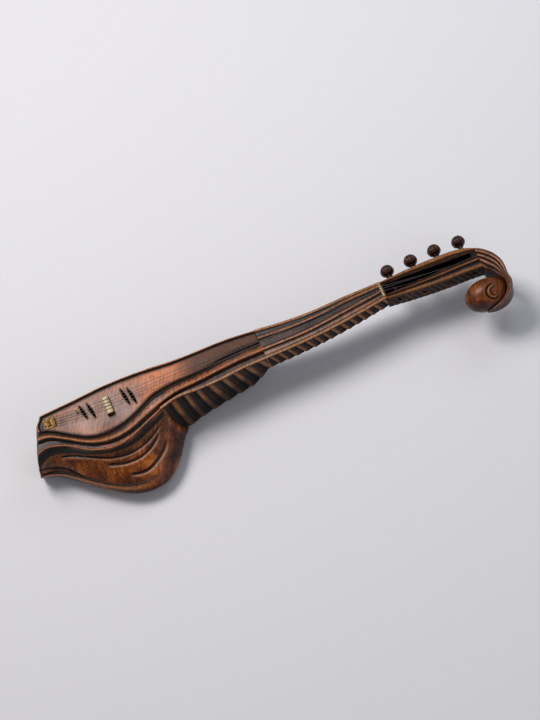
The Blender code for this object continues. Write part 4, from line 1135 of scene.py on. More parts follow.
@dataclass
class Edging:
    """The rounded strips round the soundboard, the rim moulding and the lip on the bowl's side."""

    along: int = 260
    steps: int = 6
    lip_levels: tuple[float, float] = (0.645, 0.86)
    lip_end: float = 0.072
    lip_seat: float = -5 * GAP    # how far the lip's back stands off the bowl's side
    lip_fade: float = 0.052       # length over which the lip sinks at its end
    lip_loss: float = 0.8         # share of its rise lost there

    def moulding(self, lines: list[np.ndarray], crest: float, dark_from: float, dark_at: float) -> Relief:
        """A strip whose rounded top runs through lines.

        Args:
            lines: the lines of its section; the first and the last stay as they are.
            crest: height of the crest, painted light with wear and painted highlight.
            dark_from: height below which stain and painted shade start.
            dark_at: height below which the stain and painted shade are full.

        Returns:
            Its skin.
        """
        body = np.array(lines)
        section = np.concatenate([body[:1], round_over(body[1:-1], self.steps), body[-1:]])
        relief = Relief(section.transpose(1, 0, 2))
        z = relief.points[..., 2]
        # Lower parts painted dark with stain and painted shade, the crest light with wear and painted
        # highlight.
        relief.mark(stain_and_shade=ease((dark_from - z) / (dark_from - dark_at)), wear_and_highlight=hump(z - crest, 0.0012))
        return relief

    def lower_binding(self) -> Relief:
        """The edge strip between soundboard and rim moulding.

        Returns:
            Its skin.
        """
        end = HEEL_END - GAP
        base = LEDGE + GAP

        def at(offset: float, z: float, curve: Curve = Plan.board) -> np.ndarray:
            """A line of the section, beside a plan curve."""
            return Plan.run(curve, z, end, self.along, 0.0, offset)

        def between(x: np.ndarray, share: float) -> np.ndarray:
            """A curve between the valley and the crest."""
            return (Plan.board(x) - 0.0042) * (1 - share) + (Plan.bead(x) + 0.0022) * share

        lines = [at(-GAP, base), at(-GAP, FACE - 0.0012), at(-0.0012, FACE - 0.0038),
                 at(-0.0040, FACE - 0.0054), at(0, FACE - 0.0030, lambda x: between(x, 0.30)),
                 at(0, FACE - 0.0018, lambda x: between(x, 0.62)), at(0.0012, FACE - 0.0005, Plan.bead),
                 at(0, FACE, Plan.bead), at(-0.0022, FACE - 0.0010, Plan.bead),
                 at(-0.0045, FACE - 0.0046, Plan.bead), at(GAP, FACE - 0.0070, Plan.binding_outer),
                 at(GAP, base, Plan.binding_outer)]
        return self.moulding(lines, FACE, FACE - 0.0026, FACE - 0.0042)

    def upper_binding(self) -> Relief:
        """The edge strip along the straight side.

        Returns:
            Its skin.
        """
        end = HEEL_END - GAP
        base = LEDGE + GAP
        lines = [Plan.run(Plan.upper_edge, z, end, self.along, 0.0, offset) for offset, z in (
            (-0.0087, base), (-0.0087, FACE - 0.002), (-0.0068, FACE - 0.0046), (-0.0050, FACE - 0.0030),
            (-0.0030, FACE - 0.0001), (-0.0012, FACE - 0.0008), (-0.0002, FACE - 0.0035), (-0.0002, base))]
        return self.moulding(lines, FACE, FACE - 0.0014, FACE - 0.0036)

    def tail_binding(self) -> Relief:
        """The short edge strip across the tail.

        Returns:
            Its skin.
        """
        end = HEEL_END - GAP
        lines = []
        for inset, z in ((0, LEDGE + GAP), (0, FACE - 0.003), (0.0015, FACE - 0.0004),
                         (0.0035, FACE - 0.0004), (0.0055, FACE - 0.0040), (0.0072, FACE - 0.0044),
                         (0.0087, FACE - 0.002), (0.0087, LEDGE + GAP)):
            a = Plan.run(Plan.board, z, end, 2, inset)[0]
            b = Plan.run(Plan.board_far, z, end, 2, inset)[0]
            t = np.linspace(0.04, 0.96, 30)[:, None]
            lines.append(a + (b - a) * t - np.array([0.006, 0, 0]) * 4 * t * (1 - t))
        return self.moulding(lines, FACE, FACE - 0.0014, FACE - 0.0036)

    def rim_moulding(self) -> Relief:
        """The skirt from the lower binding down to the carved shoulder.

        Returns:
            Its skin.
        """
        end = float(Plan.joint_x(FACE - 0.016)) - 0.004

        def at(curve: Curve, offset: float, z: float) -> np.ndarray:
            """A line of the section, beside a plan curve."""
            return Plan.run(curve, z, end, self.along, 0.0, offset)

        lines = [at(Plan.binding_outer, -GAP, FACE - 0.0145), at(Plan.binding_outer, -GAP, FACE - 0.0095),
                 at(Plan.moulding, 0.0038, FACE - 0.0100), at(Plan.moulding, 0, FACE - 0.0070),
                 at(Plan.moulding, -0.0035, FACE - 0.0105),
                 at(lambda x: Plan.moulding(x) * 0.35 + Plan.shoulder(x) * 0.65, -0.001, FACE - 0.0160),
                 at(lambda x: Plan.lower_side(x, 0), 0.0008, FACE - 0.022),
                 at(lambda x: Plan.lower_side(x, 0), 0.0008, FACE - 0.0262)]
        relief = self.moulding(lines, FACE - 0.0070, FACE - 0.0125, FACE - 0.0165)
        x, _, z = np.moveaxis(relief.points, 2, 0)
        # Painted shade low on the skirt towards the tail, and a painted highlight line along the shoulder.
        relief.mark(stain_and_shade=ease((-0.050 - x) / 0.060) * ease((FACE - 0.0085 - z) / 0.0030),
                    wear_and_highlight=0.6 * hump(z - FACE + 0.0200, 0.0016) * ease((x + 0.060) / 0.05))
        return relief

    def lip(self) -> Relief:
        """The raised lip that crosses the bowl's side.

        Returns:
            Its skin.
        """
        high, low = self.lip_levels

        def at(share: float, rise: float) -> np.ndarray:
            """A line of the section, a rise off the bowl's side that fades out at the lip's end.

            Args:
                share: The line's place down the bowl's side, 0 at the top and 1 at the bottom.
                rise: Its rise off the side, in metres.

            Returns:
                The line's points.
            """
            points = Plan.run(lambda x: Plan.lower_side(x, share), float(Plan.side_height(share)),
                              self.lip_end, self.along, 0.0, self.lip_seat)
            faded = np.clip(1 - (self.lip_end - points[:, 0]) / self.lip_fade, 0, 1)
            points[:, 1] -= rise * (1 - self.lip_loss * faded)
            return points

        middle = (at(high, 0.0037) + at(low, 0.0037)) / 2
        lines = [at(high, 0), at(high, 0.0018), at(high, 0.0032) * 0.75 + middle * 0.25, middle,
                 at(low, 0.0030) * 0.6 + middle * 0.4, at(low, 0.002), at(low, 0)]
        body = np.array(lines)
        section = np.concatenate([body[:1], round_over(body[1:-1], self.steps), body[-1:]])
        relief = Relief(section.transpose(1, 0, 2))
        across = np.linspace(0, 1, section.shape[0])[None, :]
        fade = 1 - ease((relief.points[..., 0] - 0.010) / 0.055)
        # The lip's upper and lower flanks painted dark with stain and painted shade, its crest light with
        # wear and painted highlight.
        relief.mark(stain_and_shade=ease((0.30 - across) / 0.25) * (0.3 + 0.7 * fade) + ease((across - 0.85) / 0.15),
                    wear_and_highlight=hump(across - 0.45, 0.16) * fade)
        return relief

    def dress(self) -> None:
        """Builds the five strips and finishes them."""
        for name, build, node in (("lower_edge_strip", self.lower_binding, "lower_binding"),
                                  ("upper_edge_strip", self.upper_binding, "upper_binding"),
                                  ("tail_edge_strip", self.tail_binding, "tail_binding"),
                                  ("rim_skirt", self.rim_moulding, "rim_moulding"),
                                  ("side_lip", self.lip, "bowl_lip")):
            dress(build().build(name, 55), Finish.EDGE, (node,))


@dataclass
class HeelAndNeck:
    """Heel and neck: their cores, the overlapping lobes carved down both sides, and the face's rails."""

    lobe_depth: float = 0.0036
    heel_pitch: float = 0.030
    neck_pitch: float = 0.0215
    heel_lean: tuple[float, float] = (0.10, 0.32)
    neck_lean: tuple[float, float] = (0.33, 0.33)
    lip_width: float = 0.0030     # plain line left along the strip's top
    rail_width: float = 0.007
    rail_height: float = 0.0035
    lowest_share: float = 0.93    # share of the side's depth that the carving covers
    rail_seat: float = 0.003      # how far the neck's face lies below the soundboard's
    drop: float = 0.0075 + 2 * GAP        # top of the back heel strip below the face

    def strip(self, x_of: Callable[[np.ndarray, np.ndarray], np.ndarray], count: int, upper: bool,
              pitch: float, lean: tuple[float, float], top_drop: float = 0.0) -> Relief:
        """A carved side strip.

        Args:
            x_of: function from a share of the length and a height to X.
            count: places along the strip.
            upper: the straight edge's side, or else the bulging side.
            pitch: distance between lobes.
            lean: how far a lobe's groove runs back for each metre down, at the strip's two ends.
            top_drop: how far below the face the strip starts.

        Returns:
            The carved skin.
        """
        sign = 1 if upper else -1
        t = np.linspace(0, 1, count)[:, None]
        base = Plan.base_height(x_of(t, 0.0))
        first = top_drop / (FACE - base)
        last = self.lowest_share
        share = first + (last - first) * np.linspace(0, 1, 46)[None, :]
        z = FACE - (FACE - base) * share
        x = x_of(t, z)
        outer = np.stack([x, Plan.side_y(x, share, upper), z], axis=2)
        share = first + (last - first) * np.linspace(1, 0, 9)[None, :]
        z_in = FACE - (FACE - base) * share
        x_in = x_of(t, z_in)
        inner = np.stack([x_in, Plan.side_y(x_in, share, upper) - sign * STRIP, z_in], axis=2)
        land = np.linspace(0, 1, 5)[None, 1:-1, None]
        top = inner[:, -1:] + (outer[:, :1] - inner[:, -1:]) * land
        relief = Relief(np.concatenate([outer, inner, top], axis=1))
        depth = FACE - top_drop - relief.points[..., 2]
        on_outer = np.zeros(relief.stain_and_shade.shape)
        on_outer[:, :outer.shape[1]] = 1
        x = relief.points[..., 0]
        leaning = lean[0] + (lean[1] - lean[0]) * np.clip((x - 0.13) / (HEEL_END - 0.13), 0, 1)
        phase = (x - leaning * depth + 0.0012 * np.sin(x * 61)) / pitch
        p = phase - np.floor(phase)
        rise = np.where(p < 0.32, ease(p / 0.32), 1 - 0.75 * np.clip((p - 0.32) / 0.68, 0, 1) ** 1.7)
        vein = hump(p - 0.66, 0.05)
        below_lip = ease((depth - self.lip_width) / 0.0022) * on_outer
        # Painted shade: darker lower down the side.
        deep = ease((depth - 0.030) / 0.030)
        # Lobe hollows and veins painted dark with stain and painted shade, crests and the top edge light with
        # wear and painted highlight.
        relief.carve(self.lobe_depth * (1 - rise) * below_lip + 0.0008 * vein * below_lip,
                     stain_and_shade=below_lip * np.clip(1.25 * (1 - rise) - 0.10 + 0.5 * vein + 0.30 * deep, 0, 1)
                     + hump(depth - self.lip_width - 0.0008, 0.0012) * on_outer,
                     wear_and_highlight=below_lip * hump(p - 0.31, 0.19) * (1 - 0.75 * deep) * 1.2 + hump(depth, 0.0020))
        return relief

    def rail(self, curve: Line) -> Relief:
        """A rounded rail along the neck's face.

        Args:
            curve: its middle, over the share of the neck's length.

        Returns:
            Its skin.
        """
        bottom = FACE - self.rail_seat
        x = np.linspace(HEEL_END + GAP / 2, NUT_X - GAP, 160)
        y = curve(Plan.neck_share(x))
        turn = np.linspace(0, math.pi, 13)
        half = self.rail_width / 2
        around = half * np.sign(np.cos(turn)) * np.abs(np.cos(turn)) ** 0.7
        across = np.concatenate([[half], around, [-half]])
        up = np.concatenate([[GAP], self.rail_height * (0.35 + 0.65 * np.sin(turn) ** 0.8), [GAP]])
        points = np.stack([np.repeat(x[:, None], len(across), axis=1), y[:, None] + across[None, :],
                           np.repeat(bottom + up[None, :], len(x), axis=0)], axis=2)
        relief = Relief(points)
        rise = (up - GAP) / self.rail_height
        # Painted shade at the rail's foot, and wear and painted highlight along its top.
        relief.mark(stain_and_shade=np.clip(1.1 - 1.5 * rise, 0, 1)[None, :],
                    wear_and_highlight=0.9 * ease((rise - 0.7) / 0.3)[None, :])
        return relief

    def fingerboard(self) -> Relief:
        """The neck's face between the strips, dark with stain and painted shade beside the rails and light
        with wear and painted highlight between them.

        Returns:
            Its skin.
        """
        top, bottom = FACE - self.rail_seat, LEDGE + GAP
        x = np.linspace(HEEL_END + GAP / 2, NUT_X - GAP, 150)[:, None]
        t = np.linspace(0, 1, 60)[None, :]
        low = Plan.lower_edge(x) + STRIP + 2 * GAP
        high = Plan.upper_edge(x) - STRIP - 2 * GAP
        y = low + (high - low) * t
        upper = np.stack([x + 0 * t, y, np.full(y.shape, top)], axis=2)
        under = np.stack([x + 0 * t, y, np.full(y.shape, bottom)], axis=2)[:, ::-1]
        relief = Relief(np.concatenate([upper, under], axis=1))
        x, y, _ = np.moveaxis(relief.points, 2, 0)
        share = Plan.neck_share(x)
        half = self.rail_width / 2
        gaps = np.min([np.abs(y - Plan.middle_rail(share)) - half, np.abs(y - Plan.lower_rail(share)) - half,
                       np.abs(y - Plan.lower_edge(x) - STRIP), np.abs(Plan.upper_edge(x) - STRIP - y)],
                      axis=0)
        lowest = y < Plan.lower_rail(share)
        # Stain and painted shade in the channels beside rails and edges, wear and painted highlight in the
        # middle of the lowest band.
        relief.mark(stain_and_shade=np.where(lowest, ease((0.0052 - gaps) / 0.0028),
                                   1 - 0.5 * ease((gaps - 0.003) / 0.003)),
                    wear_and_highlight=0.7 * lowest * ease((gaps - 0.0040) / 0.0030))
        return relief

    @staticmethod
    def heel_x(share: np.ndarray, z: np.ndarray) -> np.ndarray:
        """X at a share of the heel's length, from the slanting joint to the neck."""
        return (Plan.joint_x(z) + GAP) * (1 - share) + (HEEL_END - GAP / 2) * share

    @staticmethod
    def neck_x(share: np.ndarray, z: np.ndarray) -> np.ndarray:
        """X at a share of the neck's length, to just past the nut."""
        start = HEEL_END + GAP / 2
        return start + (NUT_X + 0.006 - start) * share + 0 * z

    def dress(self) -> None:
        """Builds strips, rails and face, and finishes the cores that they cover."""
        for side, upper in (("front", False), ("back", True)):
            heel = self.strip(self.heel_x, 210, upper, self.heel_pitch, self.heel_lean,
                              self.drop if upper else 0.0)
            dress(heel.build(f"heel_lobes_{side}", 65), Finish.LOBES, (f"heel_carving_{side}",))
            neck = self.strip(self.neck_x, 240, upper, self.neck_pitch, self.neck_lean)
            dress(neck.build(f"neck_lobes_{side}", 65), Finish.LOBES, (f"neck_carving_{side}",))
        for place, curve in (("middle", Plan.middle_rail), ("lower", Plan.lower_rail)):
            rail = self.rail(curve).build(f"{place}_face_rail")
            dress(rail, Finish.EDGE, (f"{place}_rail",))
        dress(self.fingerboard().build("neck_face", 40), Finish.EDGE, ("fingerboard",))
        for node in ("heel", "neck"):
            redress(node, Finish.LOBES)


@dataclass
class Head:
    """Pegbox, crook and scroll boss, carved with the bands that run round the head."""

    upper: Line = Line((0, 26), (60, 28), (139, 27), (190, 22.5), (212, 16.5), (227, 9))
    lower: Line = Line((0, -18), (56, -27), (140, -36), (192, -39), (227, -42))
    slot_middle: Line = Line((0, 4), (216, -5))
    slot_half: Line = Line((0, 13), (216, 5))
    slot_ends: tuple[float, float] = (0.009, 0.214)
    slot_depth: float = 0.044
    length: float = 0.227
    start: float = 0.0063
    peg_radius: float = 0.0045
    peg_clearance: float = 0.0003
    peg_places: tuple[float, ...] = (0.034, 0.091, 0.148, 0.205)
    peg_height: float = 0.093
    boss_middle: tuple[float, float] = (0.208, -0.098)
    boss_radii: tuple[float, float, float] = (0.049, 0.036, 0.038)
    boss_drop: float = 0.026
    spiral_middle: tuple[float, float] = (901.0, -99.0)       # millimetres on the carver's plane
    crook_turn: tuple[float, float] = (20.0, -105.0)
    crook_width: tuple[float, float] = (0.016, 0.0025)

    def section(self, x: float, slot_depth: float) -> tuple[np.ndarray, np.ndarray, np.ndarray]:
        """One section of the pegbox.

        Args:
            x: distance from the nut.
            slot_depth: depth of the string slot here.

        Returns:
            Its points, its stain and its wear.
        """
        up, low = float(self.upper(x)), float(self.lower(x))
        middle, half = float(self.slot_middle(x)), float(self.slot_half(x))
        top, bottom = FACE, FACE - NECK_DEPTH
        rows = []

        def put(y: float, z: float, stain_and_shade: float = 0.0, wear_and_highlight: float = 0.0) -> None:
            """Adds a point of the section."""
            rows.append((y, z, stain_and_shade, wear_and_highlight))

        # Sides a little darker (painted shade), top edges lighter (wear and painted highlight), cheek grooves
        # dark with stain and painted shade.
        for z in np.linspace(bottom + 0.006, top - 0.004, 9):
            put(up, z, 0.35)
        for t in np.linspace(0.15, 1, 5):
            put(up - 0.003 * t, top - 0.004 + 0.004 * math.sin(math.pi / 2 * t), 0.0, 0.6)
        cheek = up - 0.003 - (middle + half)
        for t in np.linspace(0, 1, 26)[1:]:
            d = 0.003 + cheek * t
            groove = hump(d - min(0.0125, 0.62 * (cheek + 0.003)), 0.0019) * (1 - hump(t, 0.08))
            second = hump(d - 0.80 * (cheek + 0.003), 0.0013) * ease((cheek - 0.008) / 0.006)
            edge = ease((t - 0.93) / 0.07)
            put(up - d, top - 0.0036 * groove - 0.0018 * second - 0.001 * edge,
                max(groove, 0.8 * second, edge), 0.8 * float(ease((0.5 - abs(t - 0.3)) / 0.3)))
        # The string slot is painted near black: painted shade.
        floor = top - max(slot_depth, 0.0015)
        for z in np.linspace(top - 0.0012, floor, 5):
            put(middle + half, z, 1.0)
        for t in (0.25, 0.75):
            put(middle + half - 2 * half * t, floor, 1.0)
        for z in np.linspace(floor, top - 0.0012, 5):
            put(middle - half, z, 1.0)
        cheek = (middle - half) - low - 0.003
        for t in np.linspace(0, 1, 34)[:-1]:
            d = 1 - t
            groove = hump((d - 0.45) * cheek, 0.0026)
            thin = hump((d - 0.78) * cheek, 0.0014) * ease((cheek - 0.010) / 0.008)
            edge = ease((0.06 - t) / 0.06)
            put(middle - half - cheek * t, top - 0.0040 * groove - 0.0016 * thin - 0.001 * edge,
                max(groove, 0.8 * thin, edge),
                max(0.75 * hump((d - 0.62) * cheek, 0.0020), 0.8 * hump(d * cheek, 0.003)))
        for t in np.linspace(1, 0.15, 5):
            put(low + 0.003 * t, top - 0.004 + 0.004 * math.sin(math.pi / 2 * t), 0.0, 0.7)
        for z in np.linspace(top - 0.004, bottom + 0.006, 24):
            put(low, z, 0.30)
        # Painted shade on the underside.
        for t in np.linspace(0, 1, 6):
            turned = math.sin(math.pi / 2 * t)
            put(low + 0.006 * turned, bottom + 0.006 * (1 - turned) ** 1.3, 0.6)
        for t in np.linspace(0.1, 1, 8):
            put(low + 0.006 + (up - low - 0.012) * t, bottom, 0.6)
        for t in np.linspace(0, 1, 5)[1:-1]:
            put(up - 0.006 + 0.006 * t, bottom + 0.006 * t ** 1.6, 0.6)
        y, z, stain_and_shade, wear_and_highlight = np.array(rows, dtype=float).T
        return np.stack([np.full(len(y), NUT_X + x), y, z], axis=1), stain_and_shade, wear_and_highlight

    def pegbox(self) -> bpy.types.Object:
        """Carves the pegbox, with its slot and peg holes.

        Returns:
            The pegbox.
        """
        first, last = self.slot_ends
        places = [(x, 0.0) for x in np.linspace(self.start, first, 4)]
        places += [(x, self.slot_depth) for x in np.linspace(first + 1e-5, last - 1e-5, 120)]
        places += [(x, 0.0) for x in np.linspace(last, self.length, 9)]
        parts = [self.section(x, depth) for x, depth in places]
        relief = Relief(np.array([p[0] for p in parts]))
        relief.mark(np.array([p[1] for p in parts]), np.array([p[2] for p in parts]))
        x, y, z = np.moveaxis(relief.points, 2, 0)
        side = np.abs(y - self.lower(x - NUT_X)) < 0.0012
        side &= (z < FACE - 0.006) & (z > FACE - NECK_DEPTH + 0.004)
        phase = (x - 0.45 * (FACE - z)) / 0.0135
        p = phase - np.floor(phase)
        rise = np.where(p < 0.35, ease(p / 0.35), 1 - 0.6 * np.clip((p - 0.35) / 0.65, 0, 1) ** 1.5)
        along = ease((x - NUT_X - 0.010) / 0.012) * ease((NUT_X + self.length - 0.004 - x) / 0.006) * side
        relief.points[..., 1] += 0.0024 * (1 - rise) * along
        # Lobe hollows painted dark with stain and painted shade, crests light with wear and painted
        # highlight.
        relief.mark(stain_and_shade=(1 - rise) * along, wear_and_highlight=0.7 * hump(p - 0.3, 0.12) * along)
        obj = relief.build("carved_pegbox", 50)
        for place in self.peg_places:
            bpy.ops.mesh.primitive_cylinder_add(
                radius=self.peg_radius + self.peg_clearance, depth=0.16, vertices=32,
                location=(NUT_X + place, 0, self.peg_height), rotation=(math.radians(90), 0, 0))
            cut_away(obj, bpy.context.object)
        return obj

    def ellipse(self, degrees: float, extra: float) -> tuple[float, float]:
        """A point round the boss.

        Args:
            degrees: turn from the neck's direction.
            extra: metres outside the boss.

        Returns:
            X from the nut, and Y.
        """
        angle = math.radians(degrees)
        return (self.boss_middle[0] + (self.boss_radii[0] + extra) * math.cos(angle),
                self.boss_middle[1] + (self.boss_radii[1] + extra) * math.sin(angle))

    def crook(self) -> Relief:
        """The band that carries the pegbox's carving round the boss.

        Returns:
            The carved skin.
        """
        start = self.length + GAP
        pairs = [((start, float(self.upper(self.length))), (start, float(self.lower(self.length))))]
        pairs += [((0.244, -0.0025), (0.2273, -0.046)), ((0.261, -0.022), (0.230, -0.052)),
                  ((0.271, -0.048), (0.239, -0.060))]
        for share in np.linspace(0, 1, 11):
            degrees = self.crook_turn[0] + (self.crook_turn[1] - self.crook_turn[0]) * share
            width = self.crook_width[1] + (self.crook_width[0] - self.crook_width[1]) * (1 - share) ** 1.3
            pairs.append((self.ellipse(degrees, GAP * 2 + width), self.ellipse(degrees, GAP * 2)))
        smooth = round_over(np.array(pairs), 9)
        rings, stains_and_shade, wears_and_highlights = [], [], []
        q = np.linspace(0, 1, 46)
        for i, (outer, inner) in enumerate(smooth):
            share = i / (len(smooth) - 1)
            thin = max(0.0, (share - 0.55) / 0.45) ** 2
            top = FACE - 0.010 * share ** 2 - 0.016 * thin
            bottom = FACE - NECK_DEPTH + 0.010 * share + 0.010 * thin
            width = float(np.linalg.norm(outer - inner))
            soft = min(0.003, width * 0.2)
            across = (inner - outer) / width
            fade = 1 - float(ease((share - 0.72) / 0.2)) * 0.85
            scale = min(1.0, width / 0.040) * fade
            grooves = [(0.24, 0.0021, 0.0034), (0.50, 0.0024, 0.0036), (0.80, 0.0026, 0.0040)]
            # Grooves painted dark with stain and painted shade, their outer lips light with wear and painted
            # highlight.
            cut, dark, bright = np.zeros(46), np.zeros(46), np.zeros(46)
            for place, wide, deep in grooves:
                wide = max(wide * min(1.0, width / 0.030), 0.0008)
                cut += deep * scale * hump((q - place) * width, wide)
                dark = np.maximum(dark, hump((q - place) * width, wide * 1.15) * (0.35 + 0.65 * fade))
                bright = np.maximum(bright, 0.9 * hump((q - place) * width + wide * 2.1, wide * 1.1))
            face = outer + across * (soft + (width - 2 * soft) * q)[:, None]
            edge = []
            for t in np.linspace(0.2, 1, 4):
                eased = soft * (1 - math.sin(math.pi / 2 * t))
                edge.append((*(inner - across * eased), top - soft * t ** 1.5))
            for z in np.linspace(top - soft, bottom + soft, 8)[1:]:
                edge.append((*inner, z))
            edge += [(*(inner - across * soft), bottom), (*(outer + across * soft), bottom)]
            for z in np.linspace(bottom + soft, top - soft, 16):
                edge.append((*outer, z))
            for t in np.linspace(0.8, 0.2, 3):
                eased = soft * (1 - math.sin(math.pi / 2 * t))
                edge.append((*(outer + across * eased), top - soft * t ** 1.5))
            points = np.concatenate([np.column_stack([face, top - cut]), np.array(edge)])
            points[:, 0] += NUT_X
            rings.append(points)
            # The sides are painted a little darker: painted shade.
            stains_and_shade.append(np.concatenate([dark, np.full(len(edge), 0.25)]))
            wears_and_highlights.append(np.concatenate([bright, np.zeros(len(edge))]))
        relief = Relief(np.array(rings))
        relief.mark(np.array(stains_and_shade), np.array(wears_and_highlights))
        return relief

    def boss(self) -> Relief:
        """The egg-shaped boss with its spiral.

        Returns:
            The carved skin.
        """
        tilt = np.linspace(0, math.pi, 110)[:, None]
        turn = np.linspace(0, 2 * math.pi, 180, endpoint=False)[None, :]
        x = NUT_X + self.boss_middle[0] + self.boss_radii[0] * np.sin(tilt) * np.cos(turn)
        y = self.boss_middle[1] + self.boss_radii[1] * np.sin(tilt) * np.sin(turn)
        z = FACE - self.boss_drop + self.boss_radii[2] * np.cos(tilt) + 0 * turn
        relief = Relief(np.stack([x, y, z], axis=2))
        u, v = relief.view_plane()
        above = relief.points[..., 2] > FACE - self.boss_drop
        du, dv = u - self.spiral_middle[0], v - self.spiral_middle[1]
        angle = np.degrees(np.arctan2(dv, du)) % 360
        far = np.hypot(du, dv)
        ring = 18.5 - (angle - 90) / 60
        outer = hump(far - ring, 2.0) * ease((angle - 60) / 40) * ease((310 - angle) / 40) * above
        inner = hump(np.hypot(du - 1.5, dv) - 8.5, 1.6) * above
        inner *= ease((angle - 70) / 40) * ease((290 - angle) / 40)
        # Spiral grooves dark with stain and painted shade, the band beside them light with wear and painted
        # highlight.
        rubbed_highlight = hump(far - ring + 3.8, 1.6) * above * ease((angle - 60) / 40) * ease((300 - angle) / 40)
        relief.carve(0.0042 * outer + 0.0028 * inner, stain_and_shade=np.maximum(outer, inner) * 1.1,
                     wear_and_highlight=0.8 * rubbed_highlight)
        # Painted shade: the boss darker towards its bottom.
        low = ease((FACE - 0.040 - relief.points[..., 2]) / 0.03)
        relief.mark(stain_and_shade=0.22 + 0.6 * low)
        return relief

    def dress(self) -> None:
        """Builds the head's three pieces and finishes them."""
        dress(self.pegbox(), Finish.LOBES, ("pegbox",))
        dress(self.crook().build("carved_crook", 50), Finish.EDGE, ("crook",))
        dress(self.boss().build("spiral_boss", 60), Finish.BODY, ("scroll_boss",))


@dataclass
class Pegs:
    """Four turned pegs with fluted knobs, and the wire wound on each."""

    head: Head = field(default_factory=Head)
    stand: float = 0.011          # shaft showing between cheek and knob
    knob_radius: float = 0.016
    knob_length: float = 0.030
    flutes: int = 12
    wire_radius: float = 0.0005
    wound_length: float = 0.0042
    wound_sides: tuple[int, ...] = (1, -1, 1, 0)

    def knob_profile(self, place: float) -> np.ndarray:
        """Radius and Y of a peg, from its knob's end to its tip.

        Args:
            place: distance of the peg from the nut.

        Returns:
            The turned profile.
        """
        cheek = max(float(self.head.upper(place - self.knob_radius)),
                    float(self.head.upper(place + self.knob_radius)))
        tip = float(self.head.lower(place)) - 0.003
        base, big, shaft = cheek + self.stand, self.knob_radius, self.head.peg_radius
        end = base + self.knob_length
        knob = np.array([(0.05 * big, end), (0.16 * big, end - 0.0004), (0.30 * big, end - 0.0012),
                         (0.36 * big, end - 0.0022), (0.62 * big, end - 0.0034), (0.90 * big, end - 0.0095),
                         (0.98 * big, end - 0.0160), (0.86 * big, end - 0.0220), (0.62 * big, end - 0.0252),
                         (0.50 * big, end - 0.0262)])
        collar = np.array([(shaft + 0.0012, base + 0.0034), (shaft + 0.0028, base + 0.0030),
                           (shaft + 0.0030, base + 0.0018), (shaft + 0.0022, base + 0.0008), (shaft, base)])
        shaft_rows = [(shaft, y) for y in np.linspace(base - 0.001, tip + 0.0008, 30)]
        tip_rows = [(shaft * 0.9, tip + 0.0002), (shaft * 0.6, tip), (shaft * 0.05, tip)]
        return np.concatenate([round_over(knob, 5), round_over(collar, 3), shaft_rows, tip_rows])

    def peg(self, index: int) -> Relief:
        """One peg.

        Args:
            index: its number from the nut, from 0.

        Returns:
            Its carved skin.
        """
        place = self.head.peg_places[index]
        profile = self.knob_profile(place)
        relief = lathe(profile, (NUT_X + place, 0.0, self.head.peg_height), 96)
        end = profile[0, 1]
        y = relief.points[..., 1]
        turn = np.arctan2(relief.points[..., 2] - self.head.peg_height, relief.points[..., 0] - NUT_X - place)
        on_knob = ease((end - 0.0050 - y) / 0.004) * ease((y - end + 0.0240) / 0.005)
        flute = np.abs(np.sin(turn * self.flutes / 2))
        valley = hump(1 - flute, 0.30)
        # Flute valleys painted dark with stain and painted shade, ridges light with wear and painted
        # highlight.
        relief.carve(0.0011 * valley * on_knob, stain_and_shade=0.8 * hump(1 - flute, 0.16) * on_knob,
                     wear_and_highlight=0.5 * hump(flute, 0.30) * on_knob)
        relief.mark(stain_and_shade=0.9 * hump(y - end + 0.0022, 0.0009) + 0.9 * hump(y - end + 0.0264, 0.0010))
        return relief

    def winding(self, index: int) -> Relief:
        """The turns of wire on one peg.

        Args:
            index: the peg's number, from 0.

        Returns:
            The wire's skin.
        """
        place = self.head.peg_places[index]
        half = float(self.head.slot_half(place))
        middle = float(self.head.slot_middle(place)) + self.wound_sides[index] * 0.30 * half
        radius = self.head.peg_radius + GAP + self.wire_radius
        turns = int(self.wound_length / (2.1 * self.wire_radius))
        angle = np.linspace(math.pi / 2, math.pi / 2 + 2 * math.pi * turns, turns * 28)
        reach = self.wound_length / 2 - self.wire_radius
        path = np.stack([NUT_X + place + radius * np.cos(angle),
                         middle + np.linspace(-reach, reach, len(angle)),
                         self.head.peg_height + radius * np.sin(angle)], axis=1)
        return tube(path, self.wire_radius)

    def dress(self) -> None:
        """Builds pegs and windings, each on its own body."""
        for index in range(len(self.head.peg_places)):
            number = index + 1
            dress(self.peg(index).build(f"fluted_peg_{number}", 45), Finish.PEG,
                  (f"peg_{number}",), f"peg_{number}_body")
            dress(self.winding(index).build(f"wound_wire_{number}", 80), Finish.STEEL,
                  (f"winding_{number}",), f"peg_{number}_body")


